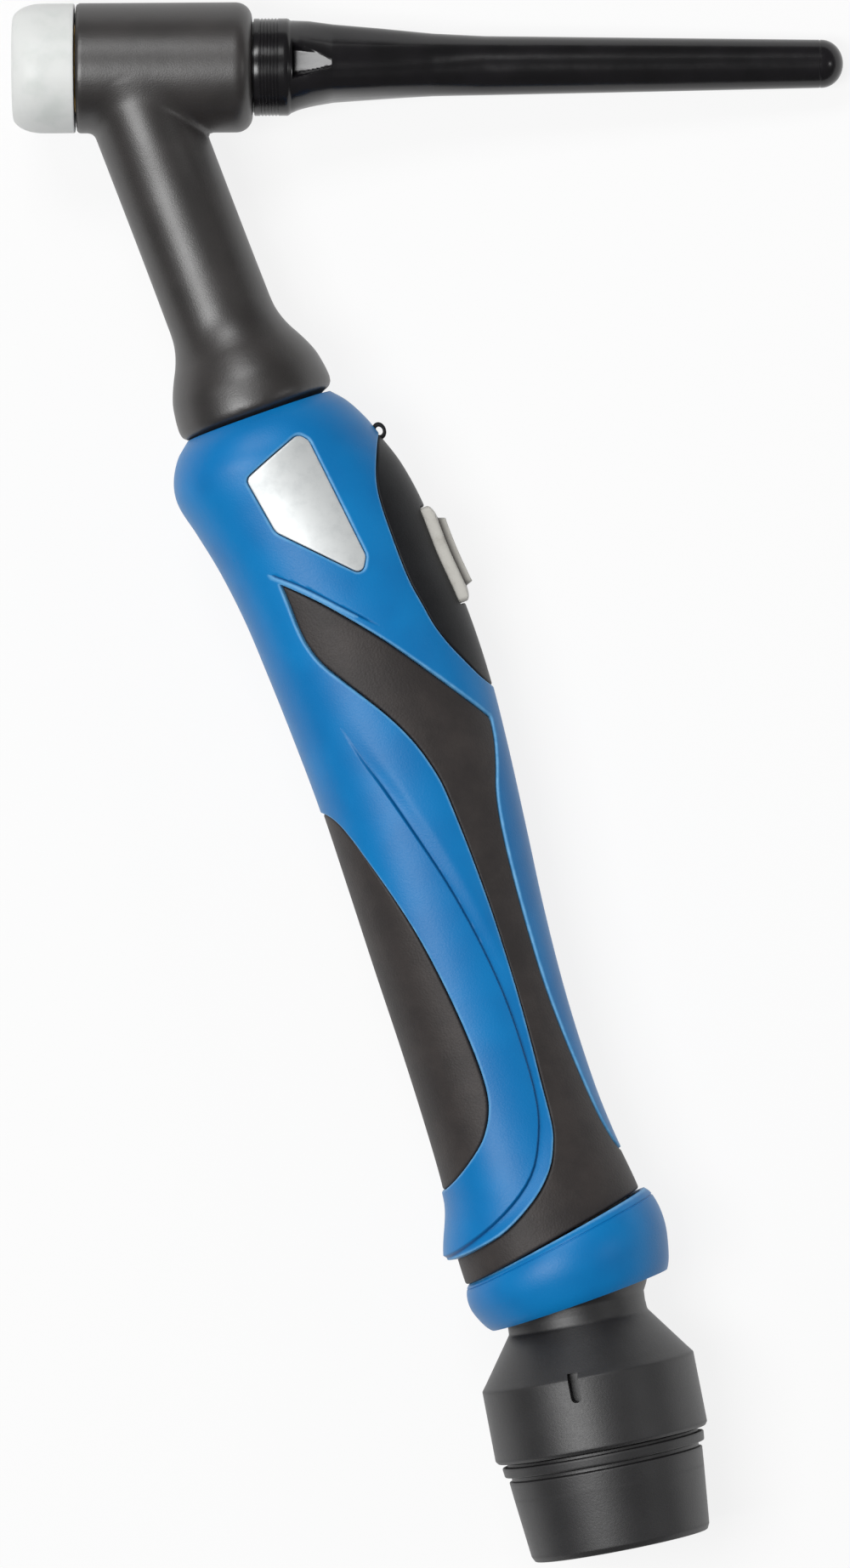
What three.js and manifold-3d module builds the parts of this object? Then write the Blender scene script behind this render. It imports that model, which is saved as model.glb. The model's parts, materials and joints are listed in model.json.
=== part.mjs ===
// TIG welding torch with a water cooled head and a two-component handle, lying on its side on a bench.
// Millimetres, +Z up, +Y along the handle towards the head, +X along the back cap.
//
// The torch is drawn flat first and laid on the bench at the end:
//   head frame    origin where handle line and head axis meet, +X along the back cap, +Z to the seen side
//   handle frame  +X to the trigger side ("back"), -Y down the handle ("down"), +Z to the seen side
//   neck frame    as the handle frame, leaning a little
//   knuckle frame origin at the centre of the ball joint, -Y out of the hose mouth

import * as THREE from 'three';
import { mergeVertices } from 'three/addons/utils/BufferGeometryUtils.js';
import Module from 'manifold-3d';

const wasm = await Module();
wasm.setup();

const DEGREE = Math.PI / 180;

// ---- driving dimensions -----------------------------------------------------------------------------

const fitGap = 0.3; // between pieces that are fitted together

// sides of the turned pieces
const bigSides = 28;
const midSides = 24;
const smallSides = 16;

// head
const headAngle = 70.85; // between the handle and the back cap, degrees
const barrelRadius = 11.85; // silicone barrel round the head body
const barrelFront = 10.4; // from the handle line to the barrel's front face
const barrelRear = 21.7; // from the handle line to the barrel's rear face
const barrelRearRound = 3; // rounding of the rear edge
const gasketRadius = 11.8; // white cup gasket
const gasketLength = 11.3;
const gasketRoundLength = 5.5; // its front edge is rounded along and across by these two
const gasketRoundDepth = 3;
const headBodyRadius = 8; // brass body
const noseRadius = 6.2; // its nose, which the gasket sits on
const noseLength = 6;
const colletBore = 4.7; // radius of the bore that the collet body screws into
const colletBoreLength = 15;
const electrodeBore = 2.2; // radius of the electrode's way through the body and the cap
const capBore = 5.9; // radius of the bore that the back cap screws into
const capBoreLength = 13.5;

// neck
const neckLean = 1.45; // degrees to the handle line
const neckOffset = 0.35; // trigger side offset of the neck axis at the handle's mouth
const neckRadius = 9.7;
const flareStart = 49; // down the handle line
const flareRadius = 14.65;
const flareEnd = 66.9;
const mouthRadius = 12.7; // waist of the neck that the handle's mouth closes round
const flangeRadius = 14.6; // flange behind the mouth that keeps the head in the handle
const flangeTop = 71.9;
const flangeThickness = 3.2;
const neckChannelRadius = 6.2; // channel for the tubes

// tubes and hose tails
const tubeRadius = 2.3;
const tubeBore = 1.5;
const tubeStart = 15.5; // down the neck
const tubeSpreadNeck = 2.9; // radius of the circle that the tubes stand on in the neck
const tubeSpreadHandle = 4.8; // and in the handle
const tubeEnd = 109;
const tailRadius = 3.6; // largest radius of a hose tail
const tailLength = 22;
const tailOverlap = 6; // length of the tube in its hose tail
const tailBarbs = 3;
const clampThickness = 3;
const clampReach = 11; // of the clamp to the back; the switch module needs the room beyond
const stubRadius = 5.9; // brass stub that the tubes are brazed into
const stubEnd = 19;

// handle, from its mouth to the ball joint; places down it are drawn for one length and stretch with it
const handleMouth = 67.5;
const drawnBallDown = 231.5;
const ballDown = 231.5; // centre of the ball joint
function stretched(down) {
  return handleMouth + ((down - handleMouth) * (ballDown - handleMouth)) / (drawnBallDown - handleMouth);
}

// reach to the front, to the back and to each side at places down the handle line
const handleStations = [
  { down: handleMouth, front: 13.4, back: 14.2, side: 13.8 },
  { down: 70, front: 16.2, back: 16.4, side: 15.9 },
  { down: 74, front: 18.4, back: 18.6, side: 17.4 },
  { down: 78, front: 18.9, back: 20.1, side: 17.4 },
  { down: 84, front: 17.5, back: 22.1, side: 17 },
  { down: 92, front: 15.8, back: 23.4, side: 16.7 },
  { down: 102, front: 14.5, back: 23.8, side: 16.5 },
  { down: 112, front: 13.9, back: 24.6, side: 16.5 },
  { down: 124, front: 13.4, back: 24.5, side: 16.4 },
  { down: 138, front: 13.1, back: 23.4, side: 16.2 },
  { down: 154, front: 13.4, back: 21.5, side: 15.9 },
  { down: 170, front: 13.8, back: 19.5, side: 15.6 },
  { down: 186, front: 14.1, back: 18.1, side: 15.5 },
  { down: 202, front: 14.7, back: 17.6, side: 15.8 },
  { down: 212, front: 15.4, back: 18, side: 16.4 },
  { down: 222, front: 16.9, back: 19, side: 17.4 },
  { down: 232, front: 17.3, back: 19.4, side: 17.8 },
].map((station) => ({ ...station, down: stretched(station.down) }));
const sectionPower = 2.1; // superellipse exponent of the handle's section
const sectionEgg = 0.07; // share by which the section is narrower towards the trigger side
const wall = 2.8; // shell wall
const gripRecess = 0.5; // soft grips lie this far below the shell's surface
const gripThickness = 1.2;
const badgeRecess = 0.15;
const badgeThickness = 0.9;
const badgeCorner = 1.9;
const tailFlareStart = ballDown - 18; // the shell's lower tail stands out at the front
const tailFlareEnd = ballDown - 6;
const tailFlareHeight = 2.3;

// switch module and trigger
const moduleRecess = 0.15;
const moduleWall = 2.4;
const hookRadius = 1.6;
const hookHole = 0.7;
const hookWidth = 2.4;
const buttonMiddle = 102.5; // down the handle
const buttonLength = 18.6;
const buttonWidth = 9.8;
const buttonRise = 1.5; // of the plate above the module's surface
const barLength = 13.4;
const barWidth = 6.6;
const barRise = 1.3; // of the bar above the plate
const buttonFlange = 0.9; // rim inside the module that stops the button
const rimReach = 0.7; // of the rim past the slot's ends
const moduleRib = 1.4; // thickness of the walls that hold the switch
const flangeDrop = 1.6; // of the rim below the middle of the module's curved under side
const buttonTravel = 1.5;
const switchLength = 12.8;
const switchWidth = 5.8;
const clampSpace = buttonMiddle - switchLength / 2 - flangeTop - flangeThickness;
const clampDown = flangeTop + flangeThickness + (clampSpace - clampThickness) / 2; // tube clamp, midway
const switchHeight = 6.5;
const switchDepth = 4; // from the module's inner surface to the switch's top
const plungerRadius = 0.9;
const pusherReach = 1.5; // half width of the button's foot that presses the plunger
const plungerRise = 1.2;
const terminalLength = 4;
const terminalWidth = 2.2;
const terminalThickness = 0.6;
const terminalPitch = 7.6;

// shell screws
const screwPlaces = [
  { name: 'shell_screw_upper', down: stretched(138), back: 14.6 },
  { name: 'shell_screw_lower', down: stretched(204), back: 11.2 },
];
const screwRadius = 1.3;
const screwHeadRadius = 2.5;
const screwHeadHeight = 1.8;
const screwReach = 6; // length in the seen side's boss
const bossRadius = 3.2;

// ball joint, collar, knuckle and hose sleeve
const ballBack = 1.8;
const ballRadius = 15;
const knuckleLean = 8.5; // degrees that the knuckle leans to the front in the photo
const throatRadius = 10.8;
const knuckleNeckRadius = 12.85;
const knuckleNeckEnd = 11.1; // distances from the ball's centre
const bellRadius = 19.65;
const bellShoulder = 20.4;
const bellLower = 33.2;
const bellEnd = 35.6;
const bellMouthRadius = 15.9;
const bellMouthStart = 22.5;
const sleeveTopRadius = 18.7;
const sleeveRadius = 17.6;
const sleeveEndRadius = 16.4;
const sleeveEnd = 52.6;
const sleeveBore = 13.8;
const snapRib = 0.7; // rib that keeps the sleeve in the bell
const snapRibLength = 1.8;
const slotWidth = 1.6;
const slotLength = 4.8;
const slotDepth = 1.2;
const slotPlace = 21.9;
const slotAngle = -9; // degrees round the knuckle from the seen side
const spigotRadius = 16.6; // handle foot inside the collar
const collarTop = ballDown - 5.3; // on the ball's line; the top edge is cut at a slant
const collarSlant = 9.5; // degrees
const collarBottom = ballDown + 7.3;
const collarRadius = 19.45;
const collarEdgeRadius = 17.5;
const collarMouthRadius = 16.45;
const lipDepth = 4; // the collar's lip holds the ball this far below its centre
const seatThickness = 2.9; // ball seat ring
const seatTop = ballRadius - 2.4; // above the ball's centre
const seatRib = 1.6; // shell rib that backs the seat ring

// back cap
const capCollarRadius = 8.87;
const capCollarEnd = 28.4; // distances along the head axis
const capTip = 129.4;
const capTubeStations = [
  { along: 36.4, radius: 6.1, ridge: 1.75 },
  { along: 45.4, radius: 5.7, ridge: 1.3 },
  { along: 54.7, radius: 5.4, ridge: 0.6 },
  { along: 64, radius: 5.35, ridge: 0.1 },
  { along: 95, radius: 4.9, ridge: 0 },
  { along: 125, radius: 4.4, ridge: 0 },
];
const capRidges = 3;
const capRidgeTurn = 100; // degrees of the first ridge, from the head frame's +Z round the axis
const capSpigotRadius = 5.6;
const capSpigotStart = 9.5;
const ringGroove = 18.6; // middle of the O-ring groove along the head axis
const ringSection = 0.5; // radius of the O-ring's section
const ringGrooveRadius = 4.3;

// outlines on the seen side, as [back, down] in the handle frame
function drawn(points) {
  return points.map(([back, down]) => [back, stretched(down)]);
}

const moduleEdge = drawn([
  [21.6, 76.2],
  [18.3, 81.8],
  [16.3, 90],
  [16.2, 102],
  [17.7, 114],
  [21.6, 123],
  [26.5, 131],
]);
const upperGripLower = drawn([
  [-6.3, 98.1],
  [-5.7, 109.5],
  [1.3, 122],
  [8.4, 135.5],
  [10.3, 150],
  [10.4, 172],
  [8.6, 201],
  [3.8, 215.4],
  [-7.6, 222.4],
  [-21, 224.6],
]);
const upperGripUpper = drawn([
  [-6.3, 98.1],
  [3.2, 107.5],
  [13.5, 120.6],
  [22, 134],
]);
const upperGripStrip = drawn([
  [22, 134],
  [17.9, 149],
  [15.6, 168],
  [15.3, 188],
  [17.4, 212.5],
  [23, 219.5],
]);
const lowerGripEdge = drawn([
  [-17, 138],
  [-8.3, 150],
  [-3.4, 170],
  [-1.3, 190],
  [-3.6, 203],
  [-12, 210],
  [-19, 213.5],
]);
const badgeCorners = drawn([
  [4.3, 72.9],
  [-5.7, 77.6],
  [-3.9, 88.2],
  [9.5, 101.2],
  [12.8, 97.4],
]);

// ---- materials --------------------------------------------------------------------------------------

function material(color, roughness, metalness = 0) {
  return new THREE.MeshStandardMaterial({ color, roughness, metalness });
}

const bluePlastic = material(0x0b6cc4, 0.35);
const softGrip = material(0x38322e, 0.75);
const silicone = material(0x3b3734, 0.6);
const whitePlastic = material(0xe6ebe8, 0.4);
const blackGloss = material(0x17161a, 0.15);
const blackSatin = material(0x2c2a2c, 0.45);
const greyPlastic = material(0xb9b6ae, 0.5);
const silver = material(0xc4c6c8, 0.35, 0.8);
const brass = material(0xb8924a, 0.3, 1);
const copper = material(0xb87346, 0.3, 1);
const steel = material(0x9a9c9f, 0.3, 1);
const blackRubber = material(0x1b1a1a, 0.8);

// ---- solids -----------------------------------------------------------------------------------------

// the sign of the enclosed volume tells which way the faces point
function pointsInwards(positions, index) {
  const a = new THREE.Vector3();
  const b = new THREE.Vector3();
  const c = new THREE.Vector3();
  let sum = 0;
  for (let i = 0; i < index.length; i += 3) {
    a.fromArray(positions, index[i] * 3);
    b.fromArray(positions, index[i + 1] * 3);
    c.fromArray(positions, index[i + 2] * 3);
    sum += a.dot(b.cross(c));
  }
  return sum < 0;
}

function solidOf(geometry) {
  const bare = geometry.clone();
  bare.deleteAttribute('normal');
  bare.deleteAttribute('uv');
  const merged = mergeVertices(bare, 1e-4);
  const positions = merged.attributes.position.array;
  const source = merged.index.array;
  const index = [];
  for (let i = 0; i < source.length; i += 3) {
    const [a, b, c] = [source[i], source[i + 1], source[i + 2]];
    if (a !== b && b !== c && c !== a) index.push(a, b, c);
  }
  if (pointsInwards(positions, index)) index.reverse();
  const mesh = new wasm.Mesh({
    numProp: 3,
    vertProperties: Float32Array.from(positions),
    triVerts: Uint32Array.from(index),
  });
  return new wasm.Manifold(mesh);
}

function geometryOf(solid) {
  const mesh = solid.getMesh();
  const geometry = new THREE.BufferGeometry();
  geometry.setAttribute('position', new THREE.Float32BufferAttribute(mesh.vertProperties, 3));
  geometry.setIndex(Array.from(mesh.triVerts));
  geometry.computeVertexNormals();
  return geometry;
}

function join(first, ...others) {
  return others.reduce((sum, next) => sum.add(next), first);
}

function cut(first, ...others) {
  return others.reduce((rest, next) => rest.subtract(next), first);
}

function common(first, second) {
  return first.intersect(second);
}

// a frame is a matrix that carries shapes drawn in it to the frame that it is nested in
function frameAt(x, y, z, turnZ) {
  const frame = new THREE.Matrix4().makeRotationZ(turnZ * DEGREE);
  return frame.setPosition(x, y, z);
}

const inHead = new THREE.Matrix4();
const handleInHead = frameAt(0, 0, 0, 90 - headAngle);
const mouthDown = 66;
const neckInHandle = frameAt(neckOffset, -mouthDown, 0, neckLean).multiply(frameAt(0, mouthDown, 0, 0));
const neckInHead = handleInHead.clone().multiply(neckInHandle);
const ballInHandle = frameAt(ballBack, -ballDown, 0, 0);
const alongX = new THREE.Matrix4().makeRotationZ(-90 * DEGREE);
const downY = new THREE.Matrix4().makeRotationX(180 * DEGREE);

// turned shape: profile points are [radius, along], along the frame's +X or down its -Y
function turned(profile, segments, axis, frame = inHead) {
  const points = profile.map(([radius, along]) => new THREE.Vector2(Math.max(radius, 0), along));
  const geometry = new THREE.LatheGeometry(points, segments);
  geometry.applyMatrix4(axis);
  geometry.applyMatrix4(frame);
  return solidOf(geometry);
}

function rod(radius, start, end, segments, axis, frame = inHead) {
  const profile = [
    [0, start],
    [radius, start],
    [radius, end],
    [0, end],
  ];
  return turned(profile, segments, axis, frame);
}

function block(x0, x1, y0, y1, z0, z1) {
  const geometry = new THREE.BoxGeometry(x1 - x0, y1 - y0, z1 - z0);
  geometry.translate((x0 + x1) / 2, (y0 + y1) / 2, (z0 + z1) / 2);
  return solidOf(geometry);
}

// points on a quarter round or any other arc of a profile, centre and radii given
function arc(centreRadius, centreAlong, reachRadius, reachAlong, from, to, steps) {
  const points = [];
  for (let i = 0; i <= steps; i += 1) {
    const angle = (from + ((to - from) * i) / steps) * DEGREE;
    points.push([centreRadius + reachRadius * Math.cos(angle), centreAlong + reachAlong * Math.sin(angle)]);
  }
  return points;
}

// skins rings of the same number of points; open lofts are capped, closed ones join last to first
function skinned(rings, closed) {
  const count = rings[0].length;
  const positions = rings.flat().flatMap((point) => point.toArray());
  const index = [];
  const last = closed ? rings.length : rings.length - 1;
  for (let i = 0; i < last; i += 1) {
    const a = i * count;
    const b = ((i + 1) % rings.length) * count;
    for (let j = 0; j < count; j += 1) {
      const k = (j + 1) % count;
      index.push(a + j, b + j, b + k, a + j, b + k, a + k);
    }
  }
  if (!closed) {
    for (const [ring, flip] of [[0, false], [rings.length - 1, true]]) {
      const middle = positions.length / 3;
      const centre = new THREE.Vector3();
      rings[ring].forEach((point) => centre.add(point));
      positions.push(...centre.divideScalar(count).toArray());
      for (let j = 0; j < count; j += 1) {
        const pair = [ring * count + j, ring * count + ((j + 1) % count)];
        if (flip) pair.reverse();
        index.push(middle, ...pair);
      }
    }
  }
  const geometry = new THREE.BufferGeometry();
  geometry.setAttribute('position', new THREE.Float32BufferAttribute(positions, 3));
  geometry.setIndex(index);
  return solidOf(geometry);
}

// smooth value of one column of a station table at any place
function valueAt(stations, place, key, column) {
  const last = stations.length - 1;
  if (place <= stations[0][key]) return stations[0][column];
  if (place >= stations[last][key]) return stations[last][column];
  let i = 0;
  while (stations[i + 1][key] < place) i += 1;
  const before = stations[Math.max(i - 1, 0)];
  const low = stations[i];
  const high = stations[i + 1];
  const after = stations[Math.min(i + 2, last)];
  const span = high[key] - low[key];
  const lowSlope = (high[column] - before[column]) / (high[key] - before[key]);
  const highSlope = (after[column] - low[column]) / (after[key] - low[key]);
  const t = (place - low[key]) / span;
  const bend = t * (1 - t) * (1 - t) * lowSlope - t * t * (1 - t) * highSlope;
  const ease = t * t * (3 - 2 * t);
  return low[column] + (high[column] - low[column]) * ease + span * bend;
}

// ---- handle shape -----------------------------------------------------------------------------------

const handleTop = handleStations[0].down;
const handleFoot = handleStations[handleStations.length - 1].down;
const skinCount = 26; // points round the handle's outer skins
const cavityCount = 16; // and round its cavity

function tailFlare(down) {
  return tailFlareHeight * THREE.MathUtils.smoothstep(down, tailFlareStart, tailFlareEnd);
}

// one ring of the handle's skin, moved in by inset; the shell's own skin has the tail's flare
function handleRing(down, inset, count, flared) {
  const front = valueAt(handleStations, down, 'down', 'front') - inset + (flared ? tailFlare(down) : 0);
  const back = valueAt(handleStations, down, 'down', 'back') - inset;
  const side = valueAt(handleStations, down, 'down', 'side') - inset;
  const middle = (back - front) / 2;
  const reach = (back + front) / 2;
  const ring = [];
  for (let i = 0; i < count; i += 1) {
    const angle = (2 * Math.PI * (i + 0.5)) / count;
    const across = Math.sign(Math.cos(angle)) * Math.abs(Math.cos(angle)) ** (2 / sectionPower);
    const up = Math.sign(Math.sin(angle)) * Math.abs(Math.sin(angle)) ** (2 / sectionPower);
    ring.push(new THREE.Vector3(middle + reach * across, -down, side * up * (1 - sectionEgg * across)));
  }
  return ring;
}

// places of the rings down the handle; they lie closer together at the top, where it curves most
const ringSteps = 17;
const ringPlaces = Array.from(
  { length: ringSteps + 1 },
  (_, i) => handleTop + (handleFoot - handleTop) * (i / ringSteps) ** 1.25,
);

// the handle's body between two places, moved in by inset; all bodies share the rings between their ends
function handleBody(top, foot, inset, count, flared = false) {
  const inside = ringPlaces.filter((down) => down > top + 0.5 && down < foot - 0.5);
  const rings = [top, ...inside, foot].map((down) => handleRing(down, inset, count, flared));
  return skinned(rings, false);
}

// an outline is a list of stretches, each a smooth curve through its points
function outline(stretches, stepsPerPoint = 2) {
  const points = [];
  for (const stretch of stretches) {
    const corners = stretch.map(([back, down]) => new THREE.Vector2(back, -down));
    const smooth = corners.length > 2;
    const steps = (corners.length - 1) * stepsPerPoint;
    const run = smooth ? new THREE.SplineCurve(corners).getPoints(steps) : corners;
    points.push(...run.slice(0, -1));
  }
  return points;
}

function reversed(points) {
  return [...points].reverse();
}

// closes an edge that runs off the handle: straight out from its last point, along, and back to its first
function offSide(edge, out) {
  const first = edge[0];
  const last = edge.at(-1);
  return [
    [last, [out, last[1]]],
    [[out, last[1]], [out, first[1]]],
    [[out, first[1]], first],
  ];
}

// the outline moved outwards by a distance, corner by corner
function grown(points, distance) {
  const turn = Math.sign(THREE.ShapeUtils.area(points));
  return points.map((point, i) => {
    const before = points[(i + points.length - 1) % points.length];
    const after = points[(i + 1) % points.length];
    const first = point.clone().sub(before).normalize();
    const second = after.clone().sub(point).normalize();
    const along = first.clone().add(second).normalize();
    const normal = new THREE.Vector2(along.y, -along.x).multiplyScalar(turn);
    const square = Math.max(0.5, along.dot(first));
    return point.clone().add(normal.multiplyScalar(distance / square));
  });
}

function prism(points, z0, z1) {
  const shape = new THREE.Shape(points);
  const geometry = new THREE.ExtrudeGeometry(shape, { depth: z1 - z0, bevelEnabled: false });
  geometry.translate(0, 0, z0);
  return solidOf(geometry);
}

const farOut = 40; // outlines and cuts that run off the handle end at this distance from its line
const aboveHandle = handleTop - 20; // and at these places along it
const belowHandle = handleFoot + 20;
const moduleOutline = outline([moduleEdge, ...offSide(moduleEdge, farOut)]);
const upperGripOutline = outline([
  upperGripLower,
  [upperGripLower.at(-1), [-farOut, upperGripLower.at(-1)[1]]],
  [[-farOut, upperGripLower.at(-1)[1]], [-farOut, belowHandle]],
  [[-farOut, belowHandle], [farOut, belowHandle]],
  [[farOut, belowHandle], [farOut, upperGripStrip.at(-1)[1]]],
  [[farOut, upperGripStrip.at(-1)[1]], upperGripStrip.at(-1)],
  reversed(upperGripStrip),
  reversed(upperGripUpper),
]);
const lowerGripOutline = outline([lowerGripEdge, ...offSide(lowerGripEdge, -farOut)]);

// polygon with rounded corners
const cornerReachMost = 2.2; // a corner's rounding starts at most this far from it
function roundedCorners(corners, radius, steps = 2) {
  const points = [];
  corners.forEach((corner, i) => {
    const here = new THREE.Vector2(corner[0], -corner[1]);
    const before = corners[(i + corners.length - 1) % corners.length];
    const after = corners[(i + 1) % corners.length];
    const toBefore = new THREE.Vector2(before[0], -before[1]).sub(here).normalize();
    const toAfter = new THREE.Vector2(after[0], -after[1]).sub(here).normalize();
    const half = Math.acos(toBefore.dot(toAfter)) / 2;
    const reach = Math.min(radius / Math.tan(half), cornerReachMost);
    const start = here.clone().add(toBefore.multiplyScalar(reach));
    const end = here.clone().add(toAfter.multiplyScalar(reach));
    points.push(...new THREE.QuadraticBezierCurve(start, here, end).getPoints(steps));
  });
  return points;
}

const badgeOutline = roundedCorners(badgeCorners, badgeCorner);

// everything below the slanted plane of the collar's top edge, moved down by a distance
function belowSlant(distance) {
  const size = 2 * farOut;
  const geometry = new THREE.BoxGeometry(size, size, size);
  geometry.translate(0, -size / 2 - distance, 0);
  geometry.applyMatrix4(frameAt(ballBack, -collarTop, 0, collarSlant));
  return solidOf(geometry);
}

const rightSide = block(-farOut, farOut, -belowHandle, -aboveHandle, fitGap / 2, farOut);
const leftSide = block(-farOut, farOut, -belowHandle, -aboveHandle, -farOut, -fitGap / 2);
const sides = [
  { name: 'right', half: rightSide },
  { name: 'left', half: leftSide },
];

// ---- the pieces -------------------------------------------------------------------------------------

const torch = new THREE.Group();
const handle = new THREE.Group();
const knuckle = new THREE.Group();
handle.rotation.z = (90 - headAngle) * DEGREE;
knuckle.position.set(ballBack, -ballDown, 0);
knuckle.rotation.z = -knuckleLean * DEGREE;
torch.add(handle);
handle.add(knuckle);

function piece(group, name, solid, finish) {
  const mesh = new THREE.Mesh(geometryOf(solid), finish);
  mesh.name = name;
  group.add(mesh);
  return mesh;
}

// silicone moulding round the head and the neck, down into the handle's mouth
function headInsulation() {
  const round = barrelRearRound;
  const barrel = turned(
    [
      [0, -barrelFront],
      [barrelRadius, -barrelFront],
      ...arc(barrelRadius - round, barrelRear - round, round, round, 0, 90, 4),
      [0, barrelRear],
    ],
    bigSides,
    alongX,
  );
  const neck = turned(
    [
      [0, 3],
      [neckRadius, 3],
      [neckRadius, flareStart],
      [neckRadius + 1.5, flareStart + 5],
      [flareRadius - 1.3, flareStart + 9],
      [flareRadius - 0.2, flareStart + 13],
      [flareRadius, flareStart + 15.5],
      [flareRadius - 0.5, flareEnd - 0.7],
      [mouthRadius + 0.6, flareEnd],
      [mouthRadius, flareEnd],
      [mouthRadius, flangeTop],
      [flangeRadius, flangeTop],
      [flangeRadius, flangeTop + flangeThickness],
      [0, flangeTop + flangeThickness],
    ],
    bigSides,
    downY,
    neckInHead,
  );
  const bodyRoom = rod(headBodyRadius + fitGap, -barrelFront - 1, barrelRear + 1, midSides, alongX);
  const stubRoom = rod(stubRadius + fitGap, 0, stubEnd + fitGap, smallSides, downY, neckInHead);
  const channelEnd = flangeTop + flangeThickness + 1;
  const channel = rod(neckChannelRadius, stubEnd, channelEnd, smallSides, downY, neckInHead);
  return cut(join(barrel, neck), bodyRoom, stubRoom, channel);
}

const tubes = [
  { name: 'gas', turn: 180 },
  { name: 'water_inlet', turn: 60 },
  { name: 'power_return', turn: 300 },
];

// brass body: cup side bore, electrode bore, back cap bore, and the stub for the tubes
function headBody() {
  const front = -barrelFront - fitGap;
  const shell = turned(
    [
      [0, front - noseLength],
      [noseRadius, front - noseLength],
      [noseRadius, front],
      [headBodyRadius, front],
      [headBodyRadius, barrelRear - fitGap],
      [0, barrelRear - fitGap],
    ],
    midSides,
    alongX,
  );
  const stub = rod(stubRadius, 0, stubEnd, smallSides, downY, neckInHead);
  const bore = turned(
    [
      [0, front - noseLength - 1],
      [colletBore, front - noseLength - 1],
      [colletBore, front - noseLength + colletBoreLength],
      [electrodeBore, front - noseLength + colletBoreLength],
      [electrodeBore, barrelRear - capBoreLength],
      [capBore, barrelRear - capBoreLength],
      [capBore, barrelRear + 1],
      [0, barrelRear + 1],
    ],
    smallSides,
    alongX,
  );
  const sockets = tubes.map(({ turn }) => {
    const frame = neckInHead.clone().multiply(tubeLine(turn, tubeSpreadNeck));
    return rod(tubeRadius + fitGap, tubeStart - fitGap, stubEnd + 1, 12, downY, frame);
  });
  return cut(join(shell, stub), bore, ...sockets);
}

// frame of one tube's line in the neck
function tubeLine(turn, spread) {
  const line = new THREE.Matrix4();
  return line.setPosition(spread * Math.cos(turn * DEGREE), 0, spread * Math.sin(turn * DEGREE));
}

// white gasket that the cup seats on
function cupGasket() {
  const rear = -barrelFront - fitGap;
  const front = rear - gasketLength;
  const bore = noseRadius + fitGap;
  const roundCentre = gasketRadius - gasketRoundDepth;
  const profile = [
    [bore, rear],
    [gasketRadius, rear],
    ...arc(roundCentre, front + gasketRoundLength, gasketRoundDepth, -gasketRoundLength, 0, 90, 5),
    [bore, front],
    [bore, rear],
  ];
  return turned(profile, bigSides, alongX);
}

function ridgeShape(angle) {
  let height = 0;
  for (let i = 0; i < capRidges; i += 1) {
    const from = capRidgeTurn * DEGREE + (2 * Math.PI * i) / capRidges;
    height = Math.max(height, Math.cos(angle - from));
  }
  return Math.max(0, height) ** 6;
}

// long back cap: screwed spigot, round collar, ridged taper and a slim tube with a round end
function backCap() {
  const count = 24;
  const ringAt = (along, radius, ridge) => {
    const ring = [];
    for (let i = 0; i < count; i += 1) {
      const angle = (2 * Math.PI * i) / count;
      const reach = radius + ridge * ridgeShape(angle);
      ring.push(new THREE.Vector3(along, reach * Math.sin(angle), reach * Math.cos(angle)));
    }
    return ring;
  };
  const collarStart = barrelRear + fitGap;
  const tipRadius = capTubeStations.at(-1).radius;
  const rings = [
    ringAt(collarStart, capCollarRadius, 0),
    ringAt(capCollarEnd, capCollarRadius, 0),
    ringAt(capCollarEnd + 0.6, capCollarRadius - 0.4, 0),
    ...capTubeStations.map(({ along, radius, ridge }) => ringAt(along, radius, ridge)),
  ];
  for (let i = 1; i <= 4; i += 1) {
    const angle = (i / 5) * 90 * DEGREE;
    const along = capTip - tipRadius + tipRadius * Math.sin(angle);
    rings.push(ringAt(along, tipRadius * Math.cos(angle), 0));
  }
  const grooveHalf = ringSection + fitGap;
  const spigot = turned(
    [
      [0, capSpigotStart],
      [capSpigotRadius, capSpigotStart],
      [capSpigotRadius, ringGroove - grooveHalf],
      [ringGrooveRadius, ringGroove - grooveHalf],
      [ringGrooveRadius, ringGroove + grooveHalf],
      [capSpigotRadius, ringGroove + grooveHalf],
      [capSpigotRadius, collarStart + 1],
      [0, collarStart + 1],
    ],
    smallSides,
    alongX,
  );
  const pocket = rod(electrodeBore, capSpigotStart - 1, capTip - 2 * tipRadius, 12, alongX);
  return cut(join(skinned(rings, false), spigot), pocket);
}

function capRing() {
  const middle = ringGrooveRadius + fitGap + ringSection;
  const profile = arc(middle, ringGroove, ringSection, ringSection, 0, 360, 6);
  return turned(profile, smallSides, alongX);
}

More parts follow.
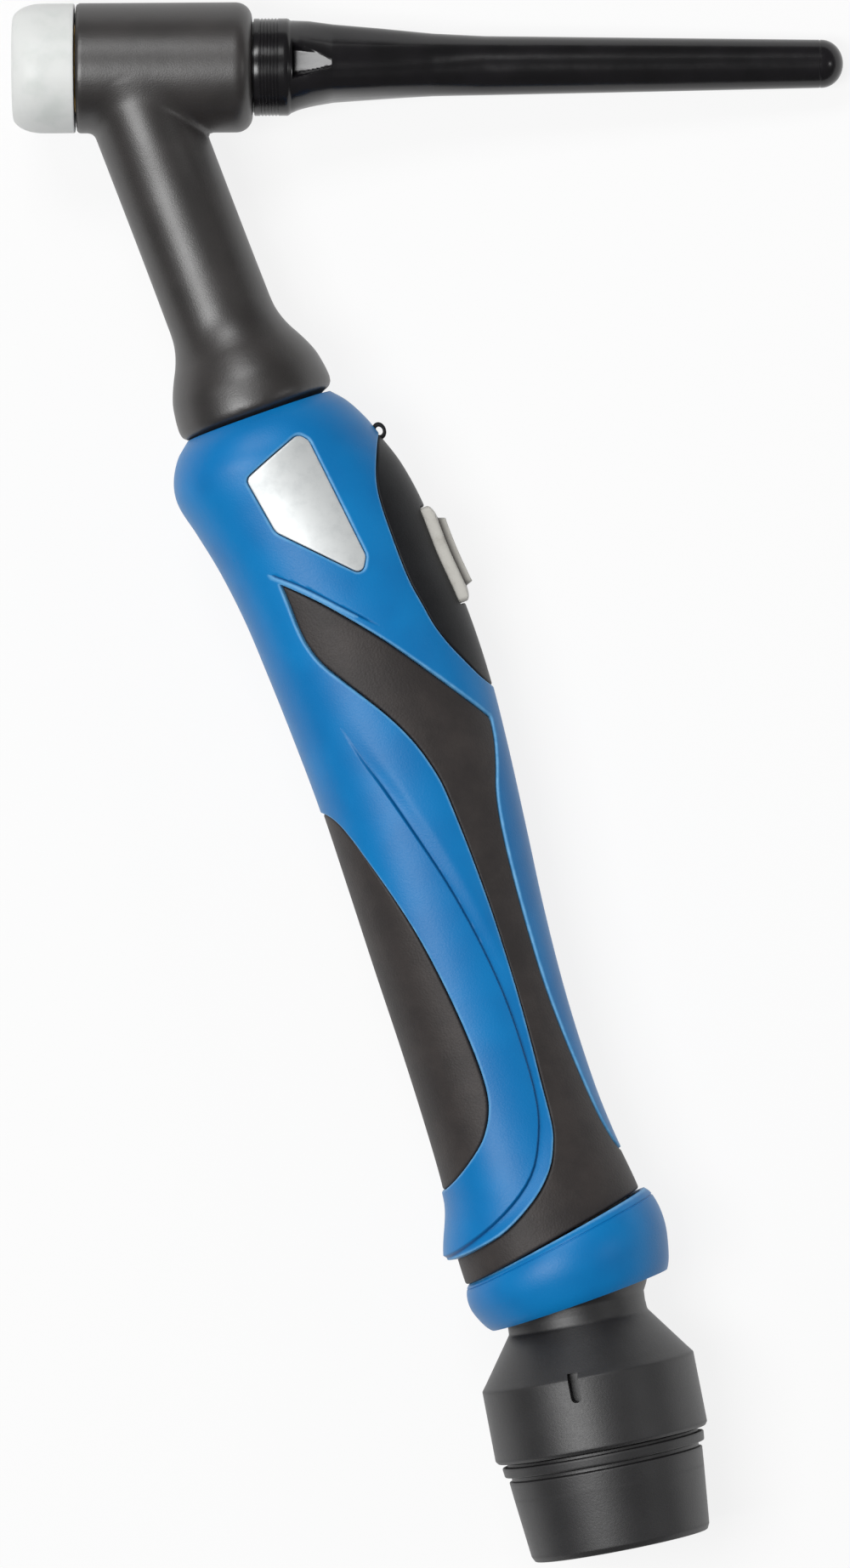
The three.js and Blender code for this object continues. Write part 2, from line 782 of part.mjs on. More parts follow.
// tube from the stub to the handle; it spreads from the neck's circle to the handle's
function headTube(turn) {
  const across = Math.cos(turn * DEGREE);
  const up = Math.sin(turn * DEGREE);
  const at = (down, spread, back) => new THREE.Vector3(back + spread * across, -down, spread * up);
  const top = at(tubeStart, tubeSpreadNeck, 0).applyMatrix4(neckInHandle);
  const waistDown = flangeTop + flangeThickness + 1;
  const waist = at(waistDown, tubeSpreadNeck, 0).applyMatrix4(neckInHandle);
  const lean = Math.tan(neckLean * DEGREE);
  const backAtEnd = neckOffset + (clampDown - mouthDown) * lean;
  const path = new THREE.CurvePath();
  const spread = at(clampDown - 2, tubeSpreadHandle, backAtEnd);
  const end = at(tubeEnd, tubeSpreadHandle, backAtEnd);
  const pull = (clampDown - waistDown) / 3;
  const firstPull = waist.clone().add(waist.clone().sub(top).normalize().multiplyScalar(pull));
  const lastPull = spread.clone().add(new THREE.Vector3(0, pull, 0));
  path.add(new THREE.LineCurve3(top, waist));
  path.add(new THREE.CubicBezierCurve3(waist, firstPull, lastPull, spread));
  path.add(new THREE.LineCurve3(spread, end));
  const section = new THREE.Shape().absarc(0, 0, tubeRadius, 0, 2 * Math.PI);
  section.holes.push(new THREE.Path().absarc(0, 0, tubeBore, 0, 2 * Math.PI, true));
  const geometry = new THREE.ExtrudeGeometry(section, { steps: 15, curveSegments: 4, extrudePath: path });
  return { solid: solidOf(geometry), end };
}

// barbed tail on the lower end of a tube
function hoseTail(end) {
  const start = -tailOverlap;
  const barb = (tailLength - tailOverlap) / tailBarbs;
  const profile = [
    [tubeRadius + fitGap, start],
    [tailRadius, start],
    [tailRadius, 0.5],
  ];
  for (let i = 0; i < tailBarbs; i += 1) {
    profile.push([tailRadius - 0.9, 0.5 + i * barb], [tailRadius - 0.2, 0.8 + i * barb]);
  }
  profile.push([tailRadius - 0.9, 0.3 + tailBarbs * barb]);
  profile.push([tubeBore, 0.3 + tailBarbs * barb], [tubeBore, fitGap], [tubeRadius + fitGap, fitGap]);
  profile.push([tubeRadius + fitGap, start]);
  return turned(profile, 10, downY, frameAt(end.x, end.y, end.z, 0));
}

// plate across the handle that holds the three tubes
function tubeClamp(ends) {
  const plate = skinned(
    [
      handleRing(clampDown, wall + 2 * fitGap, cavityCount, false),
      handleRing(clampDown + clampThickness, wall + 2 * fitGap, cavityCount, false),
    ],
    false,
  );
  const foot = clampDown + clampThickness;
  const holes = ends.map(({ x, z }) => {
    const line = new THREE.Matrix4().setPosition(x, 0, z);
    return rod(tubeRadius + fitGap, clampDown - 1, foot + 1, 12, downY, line);
  });
  const moduleRoom = block(clampReach, farOut, -foot - 1, -clampDown + 1, -farOut, farOut);
  return cut(plate, moduleRoom, ...holes);
}

const seatOuter = throatRadius + 0.4 + seatThickness;
const seatChamber = seatTop + fitGap;
const socketRadius = ballRadius + fitGap;
const seatBottom = Math.sqrt(socketRadius ** 2 - seatOuter ** 2) + 1;
const spigot = common(
  rod(spigotRadius, collarTop - 12, ballDown - fitGap, bigSides, downY, frameAt(ballBack, 0, 0, 0)),
  belowSlant(-0.6),
);
const spigotRoom = common(
  rod(spigotRadius + fitGap, collarTop - 12, ballDown, bigSides, downY, frameAt(ballBack, 0, 0, 0)),
  belowSlant(-0.6 - fitGap),
);

// round post or hole across the handle frame, along its Z
function upright(radius, z0, z1, segments, { down, back }) {
  const geometry = new THREE.CylinderGeometry(radius, radius, z1 - z0, segments);
  geometry.rotateX(90 * DEGREE);
  geometry.translate(back, -down, (z0 + z1) / 2);
  return solidOf(geometry);
}

// hollow blue body of both shells before they are split, with pockets for everything let into it
function shellBody() {
  const outer = cut(handleBody(handleTop, handleFoot, 0, skinCount, true), belowSlant(-fitGap / 2));
  const cavityTop = flangeTop - fitGap;
  const cavityFoot = ballDown - seatChamber - seatRib;
  const cavity = handleBody(cavityTop, cavityFoot, wall, cavityCount);
  const inside = handleBody(handleTop, cavityFoot, 1, cavityCount);
  const bosses = screwPlaces.map((place) => {
    const post = upright(bossRadius, -farOut, farOut, smallSides, place);
    return common(post, inside);
  });
  const mouth = turned(
    [
      [0, handleTop - 2],
      [mouthRadius + fitGap, handleTop - 2],
      [mouthRadius + fitGap, flangeTop - fitGap],
      [flangeRadius + fitGap, flangeTop - fitGap],
      [flangeRadius + fitGap, flangeTop + flangeThickness + fitGap],
      [0, flangeTop + flangeThickness + fitGap],
    ],
    bigSides,
    downY,
    neckInHandle,
  );
  const socket = turned(
    [
      [0, -seatChamber - seatRib - 1],
      [throatRadius + 0.7, -seatChamber - seatRib - 1],
      [throatRadius + 0.7, -seatChamber],
      [seatOuter + fitGap, -seatChamber],
      [seatOuter + fitGap, -seatBottom + fitGap],
      ...arc(0, 0, socketRadius, socketRadius, -24, 0, 4).filter(([radius]) => radius > seatOuter + fitGap),
      [socketRadius, 2],
      [0, 2],
    ],
    bigSides,
    downY,
    ballInHandle,
  );
  const hollow = cut(cavity, ...bosses);
  return cut(join(outer, spigot), hollow, mouth, socket);
}

// soft or hard skin let into the shell inside an outline
function inlay(points, recess, thickness) {
  const skin = cut(
    handleBody(handleTop, handleFoot, recess, skinCount),
    handleBody(handleTop - 1, handleFoot + 1, recess + thickness, skinCount),
  );
  return common(skin, prism(points, -farOut, farOut));
}

// what an inlay needs cut out of the shell
function inlayRoom(points, depth) {
  const room = cut(
    block(-farOut, farOut, -belowHandle, -aboveHandle, -farOut, farOut),
    handleBody(aboveHandle - 10, belowHandle + 10, depth, skinCount),
  );
  return common(room, prism(grown(points, fitGap), -farOut, farOut));
}

// trigger side module: a curved plate with a slot for the button, walls for the switch, and a small hook
const slotHalfLength = buttonLength / 2 + fitGap;
const slotHalfWidth = buttonWidth / 2 + fitGap;
const moduleSurface = valueAt(handleStations, buttonMiddle, 'down', 'back') - moduleRecess;
const moduleUnder = moduleSurface - moduleWall;
const switchTop = moduleUnder - switchDepth;
const switchFoot = switchTop - switchHeight;

const hookDown = moduleEdge[0][1] + 1.1;
const hookBack = valueAt(handleStations, hookDown, 'down', 'back') + 0.7;

function switchModule() {
  const plate = inlay(moduleOutline, moduleRecess, moduleWall);
  const slot = block(
    moduleUnder - 5,
    farOut,
    -buttonMiddle - slotHalfLength,
    -buttonMiddle + slotHalfLength,
    -slotHalfWidth,
    slotHalfWidth,
  );
  const wallInner = switchWidth / 2 + fitGap;
  const wallOuter = wallInner + moduleRib;
  const switchLow = -buttonMiddle - switchLength / 2;
  const switchHigh = -buttonMiddle + switchLength / 2;
  const walls = [-1, 1].map((sign) => {
    const z0 = sign > 0 ? wallInner : -wallOuter;
    return block(switchFoot, switchTop, switchLow, switchHigh, z0, z0 + moduleRib);
  });
  const posts = [-1, 1].flatMap((sign) =>
    [-1, 1].map((end) => {
      const near = buttonMiddle + end * (slotHalfLength + rimReach + fitGap + moduleRib);
      const far = buttonMiddle + end * (switchLength / 2 - 1.5);
      const edge = near - end * moduleRib;
      const postTop = valueAt(handleStations, near, 'down', 'back') - moduleRecess - moduleWall + moduleRib;
      const z0 = sign > 0 ? wallInner : -wallOuter;
      const z1 = z0 + moduleRib;
      return join(
        block(switchTop - 2.5, switchTop, -Math.max(near, far), -Math.min(near, far), z0, z1),
        block(switchTop - 1, postTop, -Math.max(near, edge), -Math.min(near, edge), z0, z1),
      );
    }),
  );
  const eye = new THREE.Shape().absarc(hookBack, -hookDown, hookRadius, 0, 2 * Math.PI);
  eye.holes.push(new THREE.Path().absarc(hookBack, -hookDown, hookHole, 0, 2 * Math.PI, true));
  const hook = new THREE.ExtrudeGeometry(eye, { depth: hookWidth, bevelEnabled: false, curveSegments: 6 });
  hook.translate(0, 0, -hookWidth / 2);
  return join(cut(plate, slot), ...walls, ...posts, solidOf(hook));
}

function extruded(points, halfWidth) {
  return prism(
    points.map(([back, down]) => new THREE.Vector2(back, -down)),
    -halfWidth,
    halfWidth,
  );
}

// the button follows the module's surface at its two ends
function buttonProfile(length, low, rise) {
  const start = buttonMiddle - length / 2;
  const end = buttonMiddle + length / 2;
  const at = (down) => valueAt(handleStations, down, 'down', 'back') - moduleRecess + rise;
  return [
    [low, start],
    [at(start) - 0.6, start],
    [at(start + 1), start + 1],
    [at(buttonMiddle), buttonMiddle],
    [at(end - 1), end - 1],
    [at(end) - 0.6, end],
    [low, end],
  ];
}

function triggerButton() {
  const flangeTopFace = moduleUnder - flangeDrop;
  const flangeLow = flangeTopFace - buttonFlange;
  const plate = extruded(buttonProfile(buttonLength, flangeLow, buttonRise), buttonWidth / 2);
  const bar = extruded(buttonProfile(barLength, flangeLow, buttonRise + barRise), barWidth / 2);
  const rim = block(
    flangeLow,
    flangeTopFace,
    -buttonMiddle - slotHalfLength - rimReach,
    -buttonMiddle + slotHalfLength + rimReach,
    -buttonWidth / 2,
    buttonWidth / 2,
  );
  const pusher = block(
    switchTop + plungerRise + fitGap,
    flangeLow + 0.5,
    -buttonMiddle - pusherReach,
    -buttonMiddle + pusherReach,
    -pusherReach,
    pusherReach,
  );
  return join(plate, bar, rim, pusher);
}

// rod across the handle frame along its X
function sideRod(radius, low, high, down, segments) {
  const geometry = new THREE.CylinderGeometry(radius, radius, high - low, segments);
  geometry.rotateZ(90 * DEGREE);
  geometry.translate((low + high) / 2, -down, 0);
  return solidOf(geometry);
}

const plungerBottom = switchTop - 3;
const terminalDowns = [-1, 1].map((sign) => buttonMiddle + (sign * terminalPitch) / 2);
const terminalRoot = switchFoot + 1.5;

function microswitch() {
  const body = block(
    switchFoot,
    switchTop,
    -buttonMiddle - switchLength / 2,
    -buttonMiddle + switchLength / 2,
    -switchWidth / 2,
    switchWidth / 2,
  );
  const wellBottom = plungerBottom - buttonTravel - fitGap;
  const well = sideRod(plungerRadius + fitGap, wellBottom, switchTop + 1, buttonMiddle, 12);
  const slots = terminalDowns.map((down) =>
    block(
      switchFoot - 1,
      terminalRoot + fitGap,
      -down - terminalWidth / 2 - fitGap,
      -down + terminalWidth / 2 + fitGap,
      -terminalThickness / 2 - fitGap,
      terminalThickness / 2 + fitGap,
    ),
  );
  return cut(body, well, ...slots);
}

function terminal(down) {
  return block(
    switchFoot - terminalLength,
    terminalRoot,
    -down - terminalWidth / 2,
    -down + terminalWidth / 2,
    -terminalThickness / 2,
    terminalThickness / 2,
  );
}

// screws run from the unseen side through one boss into the other
const screwHeadSeat = -9.5; // z of the underside of the screw heads

function screwSolid(place) {
  const head = upright(screwHeadRadius, screwHeadSeat - screwHeadHeight, screwHeadSeat, 20, place);
  const shank = upright(screwRadius, screwHeadSeat - 0.5, screwReach, 12, place);
  const cross = [
    [1.6, 0.35],
    [0.35, 1.6],
  ].map(([x, y]) =>
    block(
      place.back - x,
      place.back + x,
      -place.down - y,
      -place.down + y,
      screwHeadSeat - screwHeadHeight - 1,
      screwHeadSeat - screwHeadHeight + 0.9,
    ),
  );
  return cut(join(head, shank), ...cross);
}

function screwRoom(place) {
  return join(
    upright(screwHeadRadius + fitGap, -farOut, screwHeadSeat + fitGap, 20, place),
    upright(screwRadius + fitGap, screwHeadSeat - 1, screwReach + fitGap, 12, place),
  );
}

// ring between the shell's rib and the ball
function seatRing() {
  const inner = throatRadius + 0.4;
  const sphere = [];
  const steps = 4;
  const from = Math.asin(inner / socketRadius);
  const to = Math.asin(seatOuter / socketRadius);
  for (let i = 0; i <= steps; i += 1) {
    const angle = from + ((to - from) * i) / steps;
    sphere.push([socketRadius * Math.sin(angle), -socketRadius * Math.cos(angle)]);
  }
  const profile = [[inner, -seatTop], ...sphere, [seatOuter, -seatTop], [inner, -seatTop]];
  return turned(profile, bigSides, downY, ballInHandle);
}

// blue collar: round outside with a slanted top edge, a bore for the handle's foot and a lip under the ball
function lockingCollar() {
  const steps = bigSides;
  const rings = [];
  const slant = Math.tan(collarSlant * DEGREE);
  const bore = spigotRadius + fitGap;
  const lip = [];
  for (let i = 3; i >= 0; i -= 1) {
    const depth = (lipDepth * i) / 3;
    lip.push([Math.sqrt(socketRadius ** 2 - depth ** 2), ballDown + depth]);
  }
  for (let i = 0; i < steps; i += 1) {
    const turn = (2 * Math.PI * i) / steps;
    const top = collarTop + fitGap / 2 - collarEdgeRadius * Math.cos(turn) * slant;
    const innerTop = collarTop + fitGap / 2 - bore * Math.cos(turn) * slant;
    const outside = [
      [collarEdgeRadius, 0],
      [collarEdgeRadius + (collarRadius - collarEdgeRadius) * 0.7, 0.12],
      [collarRadius - 0.2, 0.24],
      [collarRadius - 0.05, 0.38],
      [collarRadius - 0.2, 0.52],
      [collarRadius - 0.7, 0.68],
      [collarRadius - 1.5, 0.86],
      [collarRadius - 2.1, 0.96],
      [collarRadius - 2.5, 1],
    ].map(([radius, share]) => [radius, top + (collarBottom - top) * share]);
    const inside = [[collarMouthRadius, collarBottom], ...lip, [bore, ballDown], [bore, innerTop]];
    const ring = [...outside, ...inside].map(([radius, down]) => {
      const across = ballBack + radius * Math.cos(turn);
      return new THREE.Vector3(across, -down, radius * Math.sin(turn));
    });
    rings.push(ring);
  }
  return skinned(rings, true);
}

// ball, neck and bell in one piece; the hose package passes through its throat
const spigotTop = bellMouthStart + fitGap;
const ribPlace = bellEnd - 7;

function ballCup() {
  const neckDepth = Math.sqrt(ballRadius ** 2 - knuckleNeckRadius ** 2);
  const ballTop = Math.sqrt(ballRadius ** 2 - (throatRadius + 0.6) ** 2);
  const ballSteps = 7;
  const from = -Math.acos((throatRadius + 0.6) / ballRadius);
  const to = Math.asin(neckDepth / ballRadius);
  const ball = [];
  for (let i = 0; i <= ballSteps; i += 1) {
    const angle = from + ((to - from) * i) / ballSteps;
    ball.push([ballRadius * Math.cos(angle), ballRadius * Math.sin(angle)]);
  }
  const profile = [
    [throatRadius, -ballTop],
    ...ball,
    [knuckleNeckRadius, knuckleNeckEnd],
    [bellRadius - 0.9, bellShoulder - 1],
    [bellRadius, bellShoulder + 0.4],
    [bellRadius, bellLower],
    [bellRadius - 0.8, bellEnd],
    [bellMouthRadius, bellEnd],
    [bellMouthRadius, ribPlace + snapRibLength / 2 + fitGap],
    [bellMouthRadius + snapRib, ribPlace + snapRibLength / 2 + fitGap],
    [bellMouthRadius + snapRib, ribPlace - snapRibLength / 2 - fitGap],
    [bellMouthRadius, ribPlace - snapRibLength / 2 - fitGap],
    [bellMouthRadius, bellMouthStart],
    [throatRadius, knuckleNeckEnd + 2],
    [throatRadius, -ballTop],
  ];
  const body = turned(profile, bigSides, downY);
  const slot = block(
    -slotWidth / 2,
    slotWidth / 2,
    -slotPlace - slotLength / 2,
    -slotPlace + slotLength / 2,
    bellRadius - slotDepth,
    bellRadius + 2,
  );
  return cut(body, slot.rotate([0, slotAngle, 0]));
}

// lower sleeve, which snaps into the bell and turns in it
function hoseSleeve() {
  const spigotOuter = bellMouthRadius - fitGap;
  const top = bellEnd + fitGap;
  const profile = [
    [sleeveBore, spigotTop],
    [spigotOuter, spigotTop],
    [spigotOuter, ribPlace - snapRibLength / 2],
    [spigotOuter + snapRib, ribPlace - snapRibLength / 2],
    [spigotOuter + snapRib, ribPlace + snapRibLength / 2],
    [spigotOuter, ribPlace + snapRibLength / 2],
    [spigotOuter, top],
    [sleeveTopRadius, top],
    [sleeveTopRadius, top + 1.8],
    [sleeveTopRadius - 0.9, top + 2.2],
    [sleeveRadius, top + 5],
    [sleeveEndRadius, sleeveEnd - 0.4],
    [sleeveEndRadius - 0.4, sleeveEnd],
    [sleeveBore, sleeveEnd],
    [sleeveBore, spigotTop],
  ];
  return turned(profile, bigSides, downY);
}

// ---- assembly ---------------------------------------------------------------------------------------

piece(torch, 'head_insulation', headInsulation(), silicone);
piece(torch, 'torch_head_body', headBody(), brass);
piece(torch, 'cup_gasket', cupGasket(), whitePlastic);
piece(torch, 'back_cap', backCap(), blackGloss);
piece(torch, 'back_cap_o_ring', capRing(), blackRubber);

const tubeEnds = [];
for (const { name, turn } of tubes) {
  const { solid, end } = headTube(turn);
  tubeEnds.push(end);
  piece(handle, `${name}_tube`, solid, copper);
  piece(handle, `${name}_hose_tail`, hoseTail(end), brass);
}
piece(handle, 'tube_clamp', tubeClamp(tubeEnds), blackSatin);

const pocketDepth = gripRecess + gripThickness + fitGap;
const body = cut(
  shellBody(),
  inlayRoom(upperGripOutline, pocketDepth),
  inlayRoom(lowerGripOutline, pocketDepth),
  inlayRoom(badgeOutline, badgeRecess + badgeThickness + fitGap),
  inlayRoom(moduleOutline, wall + 1),
  upright(hookRadius + fitGap, -hookWidth / 2 - fitGap, hookWidth / 2 + fitGap, smallSides, {
    down: hookDown,
    back: hookBack,
  }),
);
const upperGrip = cut(
  inlay(upperGripOutline, gripRecess, gripThickness),
  belowSlant(-fitGap / 2),
  spigotRoom,
);
const lowerGrip = inlay(lowerGripOutline, gripRecess, gripThickness);
const badge = inlay(badgeOutline, badgeRecess, badgeThickness);
const screwRooms = screwPlaces.map(screwRoom);

for (const { name, half } of sides) {
  piece(handle, `handle_shell_${name}`, cut(common(body, half), ...screwRooms), bluePlastic);
  piece(handle, `upper_grip_${name}`, cut(common(upperGrip, half), ...screwRooms), softGrip);
  piece(handle, `lower_grip_${name}`, common(lowerGrip, half), softGrip);
  piece(handle, `badge_${name}`, common(badge, half), silver);
}
for (const place of screwPlaces) {
  piece(handle, place.name, screwSolid(place), steel);
}

piece(handle, 'switch_module', switchModule(), softGrip);
piece(handle, 'trigger_button', triggerButton(), greyPlastic);
piece(handle, 'microswitch_body', microswitch(), blackSatin);
const plungerTop = switchTop + plungerRise;
const plunger = sideRod(plungerRadius, plungerBottom, plungerTop, buttonMiddle, 12);
piece(handle, 'microswitch_plunger', plunger, greyPlastic);
terminalDowns.forEach((down, i) => piece(handle, `switch_terminal_${i + 1}`, terminal(down), brass));

piece(handle, 'ball_seat_ring', seatRing(), greyPlastic);
piece(handle, 'locking_collar', lockingCollar(), bluePlastic);
piece(knuckle, 'knuckle_ball_cup', ballCup(), blackSatin);
piece(knuckle, 'hose_sleeve', hoseSleeve(), blackSatin);

// ---- laid on the bench ------------------------------------------------------------------------------

// the point of some meshes that lies furthest in a direction, in the torch's frame
function furthest(names, direction) {
  const best = new THREE.Vector3();
  const point = new THREE.Vector3();
  let reach = -Infinity;
  for (const mesh of names.map((name) => torch.getObjectByName(name))) {
    const positions = mesh.geometry.attributes.position;
    for (let i = 0; i < positions.count; i += 1) {
      point.fromBufferAttribute(positions, i).applyMatrix4(mesh.matrixWorld);
      if (point.dot(direction) > reach) {
        reach = point.dot(direction);
        best.copy(point);
      }
    }
  }
  return best;
}

// the torch lies on its knuckle or collar, the far side of its handle (shell or badge) and the end of its
// back cap: the plane that touches all three is found by steps and turned level
function layDown() {
  torch.updateMatrixWorld(true);
  const down = new THREE.Vector3(0, 0, -1);
  for (let i = 0; i < 8; i += 1) {
    const foot = furthest(['knuckle_ball_cup', 'locking_collar'], down);
    const grip = furthest(['handle_shell_left', 'badge_left'], down);
    const tip = furthest(['back_cap'], down);
    const normal = grip.sub(foot).cross(tip.sub(foot)).normalize();
    down.copy(normal.z < 0 ? normal : normal.negate());
  }
  torch.quaternion.setFromUnitVectors(down, new THREE.Vector3(0, 0, -1));
  const box = new THREE.Box3().setFromObject(torch, true);
  const middle = box.getCenter(new THREE.Vector3());
  torch.position.set(-middle.x, -middle.y, -box.min.z);
}

layDown();

export default torch;
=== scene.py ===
# %% [markdown]
# # A TIG torch, from its frame to its looks
# The model that is loaded here is the torch as it was packed: solid pieces in metres, lying on their side
# on a bench, with the joints that move them. Every step below dresses one piece of it or gives it a finish.
# Nothing is moved: a piece is either given a finer mesh in the same place or a material.

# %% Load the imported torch
import json
import math

import bpy
import numpy as np
from mathutils import Matrix, Vector


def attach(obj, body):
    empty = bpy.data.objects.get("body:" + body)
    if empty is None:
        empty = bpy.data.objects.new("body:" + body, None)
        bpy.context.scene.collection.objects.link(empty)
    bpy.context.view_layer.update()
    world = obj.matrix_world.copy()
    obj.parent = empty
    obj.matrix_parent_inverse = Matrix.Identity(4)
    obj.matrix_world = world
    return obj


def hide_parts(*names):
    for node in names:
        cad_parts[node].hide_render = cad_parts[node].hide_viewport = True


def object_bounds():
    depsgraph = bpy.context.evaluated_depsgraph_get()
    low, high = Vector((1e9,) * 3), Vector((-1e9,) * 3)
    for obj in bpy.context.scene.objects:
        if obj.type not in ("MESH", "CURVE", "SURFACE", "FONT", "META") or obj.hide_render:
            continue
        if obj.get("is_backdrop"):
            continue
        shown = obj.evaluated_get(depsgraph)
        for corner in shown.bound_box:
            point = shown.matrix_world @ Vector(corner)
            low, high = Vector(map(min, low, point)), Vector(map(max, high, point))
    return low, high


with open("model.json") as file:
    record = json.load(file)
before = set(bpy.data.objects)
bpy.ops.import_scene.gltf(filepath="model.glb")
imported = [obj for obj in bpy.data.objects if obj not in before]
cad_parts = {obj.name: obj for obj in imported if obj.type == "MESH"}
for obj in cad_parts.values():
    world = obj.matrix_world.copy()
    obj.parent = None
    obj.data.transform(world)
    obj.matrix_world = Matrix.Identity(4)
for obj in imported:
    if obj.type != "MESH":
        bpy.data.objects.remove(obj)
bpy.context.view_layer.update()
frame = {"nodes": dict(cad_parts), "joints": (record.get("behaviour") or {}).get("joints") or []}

# %% [markdown]
# ## Four frames to draw in
# A torch is easiest to draw in its own lines: down the handle, along the back cap, out of the hose mouth.
# The joints already know those lines, so the frames are read from them. Shapes are drawn in millimetres in
# one of these frames and laid in place by a 4 by 4 matrix at the very end.

# %% The torch's own frames
joints = {joint["name"]: joint for joint in frame["joints"]}


def unit(values):
    vector = np.array(values, float)
    return vector / np.linalg.norm(vector)


def frame_of(x_axis, z_axis, origin):
    place = np.eye(4)
    place[:3, 0] = x_axis
    place[:3, 1] = np.cross(z_axis, x_axis)
    place[:3, 2] = z_axis
    place[:3, 3] = origin
    return place


BALL_BACK = 1.8  # the ball's centre, towards the trigger and down the handle
BALL_DOWN = 231.5
MOUTH_DOWN = 66.0  # where the neck goes into the handle
NECK_ASIDE = 0.35
NECK_LEAN = 1.45  # degrees
seen_side = unit(joints["knuckle_tilt"]["axis"])
down_handle = unit(joints["knuckle_swivel"]["axis"])
to_trigger = -unit(joints["button_press"]["axis"])
along_cap = unit(joints["cap_turn"]["axis"])
out_of_mouth = unit(joints["sleeve_turn"]["axis"])
ball_centre = np.array(joints["knuckle_swivel"]["pos_m"]) * 1000
elbow = ball_centre - BALL_BACK * to_trigger - BALL_DOWN * down_handle

HANDLE = frame_of(to_trigger, seen_side, elbow)
HEAD = frame_of(along_cap, seen_side, elbow)
KNUCKLE_LINE = frame_of(out_of_mouth, seen_side, ball_centre)


def shifted(x, y, turn=0.0):
    place = np.array(Matrix.Rotation(math.radians(turn), 4, "Z"))
    place[:2, 3] = (x, y)
    return place


NECK = HANDLE @ shifted(NECK_ASIDE, -MOUTH_DOWN, turn=NECK_LEAN) @ shifted(0, MOUTH_DOWN)
angle = math.degrees(math.acos(down_handle @ along_cap))
print("elbow at", elbow.round(1), "handle to cap angle", round(angle, 2))

# %% [markdown]
# ## The camera first
# The photograph looks straight at the flat of the torch, from a bit over two metres with a long lens. One
# millimetre of the torch is 1000 / 155 pixels there, which fixes the lens once the distance is chosen. The
# camera is rolled by a third of a degree, as the back cap climbs that much in the photograph.

# %% Camera
MM_PER_PIXEL = 0.155
PHOTO_SIZE = (1000, 1844)
ELBOW_PIXEL = (157, 80)  # where the handle line meets the back cap's line in the photograph
CAMERA_ROLL = 0.35
CAMERA_DISTANCE = 2200.0
SENSOR_WIDTH = 36.0
CAMERA_SIGHT = 20.0  # metres


def make_camera():
    roll = math.radians(CAMERA_ROLL)
    up_in_head = HEAD[:3, 1]
    image_right = math.cos(roll) * along_cap - math.sin(roll) * up_in_head
    image_up = math.sin(roll) * along_cap + math.cos(roll) * up_in_head
    across = (PHOTO_SIZE[0] / 2 - ELBOW_PIXEL[0]) * MM_PER_PIXEL
    below = (PHOTO_SIZE[1] / 2 - ELBOW_PIXEL[1]) * MM_PER_PIXEL
    middle = elbow + across * image_right - below * image_up
    place = np.eye(4)
    place[:3, 0] = image_right
    place[:3, 1] = image_up
    place[:3, 2] = seen_side
    place[:3, 3] = (middle + CAMERA_DISTANCE * seen_side) / 1000
    data = bpy.data.cameras.new("camera")
    data.sensor_width = SENSOR_WIDTH
    data.lens = SENSOR_WIDTH * CAMERA_DISTANCE / (PHOTO_SIZE[1] * MM_PER_PIXEL)
    data.clip_end = CAMERA_SIGHT
    camera = bpy.data.objects.new("camera", data)
    camera.matrix_world = Matrix(place.tolist())
    bpy.context.scene.collection.objects.link(camera)
    bpy.context.scene.camera = camera
    return camera, image_right, image_up


camera, image_right, image_up = make_camera()
print("lens", round(camera.data.lens, 1), "mm at", [round(v, 3) for v in camera.location])

# %% [markdown]
# ## Arithmetic for shaders
# A material is a graph of nodes, but it reads best as a sum: grain times strength plus colour. This little
# class wraps one output socket and lets Python's own operators add the Math nodes. Colours are mixed with
# Mix nodes, because a Math node would turn them grey. Every other node comes from the one method `node`.

# %% A signal in a material
class Signal:
    """One output socket of a material's node tree, with arithmetic on it."""

    def __init__(self, tree, socket=None):
        self.tree = tree
        self.socket = socket

    def node(self, kind, settings=None, inputs=None, output=0):
        """Adds a node: its settings first, then its inputs, each a plain value or another signal."""
        made = self.tree.nodes.new("ShaderNode" + kind)
        for key, value in (settings or {}).items():
            if key == "stops":
                ramp = made.color_ramp
                while len(ramp.elements) < len(value):
                    ramp.elements.new(0.5)
                for element, (position, colour) in zip(ramp.elements, value):
                    element.position = position
                    element.color = colour
            else:
                setattr(made, key, value)
        for key, value in (inputs or {}).items():
            if isinstance(value, Signal):
                self.tree.links.new(value.socket, made.inputs[key])
            else:
                made.inputs[key].default_value = value
        return Signal(self.tree, made.outputs[output])

    def maths(self, operation, *values):
        return self.node("Math", {"operation": operation}, dict(enumerate(values)))

    def __add__(self, other):
        return self.maths("ADD", self, other)

    def __sub__(self, other):
        return self.maths("SUBTRACT", self, other)

    def __mul__(self, other):
        return self.maths("MULTIPLY", self, other)

    __radd__ = __add__
    __rmul__ = __mul__

    def __rsub__(self, other):
        return self.maths("SUBTRACT", other, self)

    def smooth(self, low, high, to_low=0.0, to_high=1.0):
        """Eases from to_low to to_high while this value goes from low to high."""
        inputs = {0: self, 1: low, 2: high, 3: to_low, 4: to_high}
        return self.node("MapRange", {"interpolation_type": "SMOOTHSTEP"}, inputs)

    def mix(self, first, second):
        """The first colour where this value is 0, the second where it is 1."""
        inputs = {0: self, 6: first, 7: second}
        return self.node("Mix", {"data_type": "RGBA"}, inputs, output=2)


def colour(red, green, blue):
    """A colour read off as 0 to 255 on a screen, as the linear light that Blender works in."""
    def light(value):
        share = value / 255
        return share / 12.92 if share <= 0.04045 else ((share + 0.055) / 1.055) ** 2.4
    return (light(red), light(green), light(blue), 1.0)


print("a screen's mid grey is", round(colour(128, 128, 128)[0], 3), "in linear light")

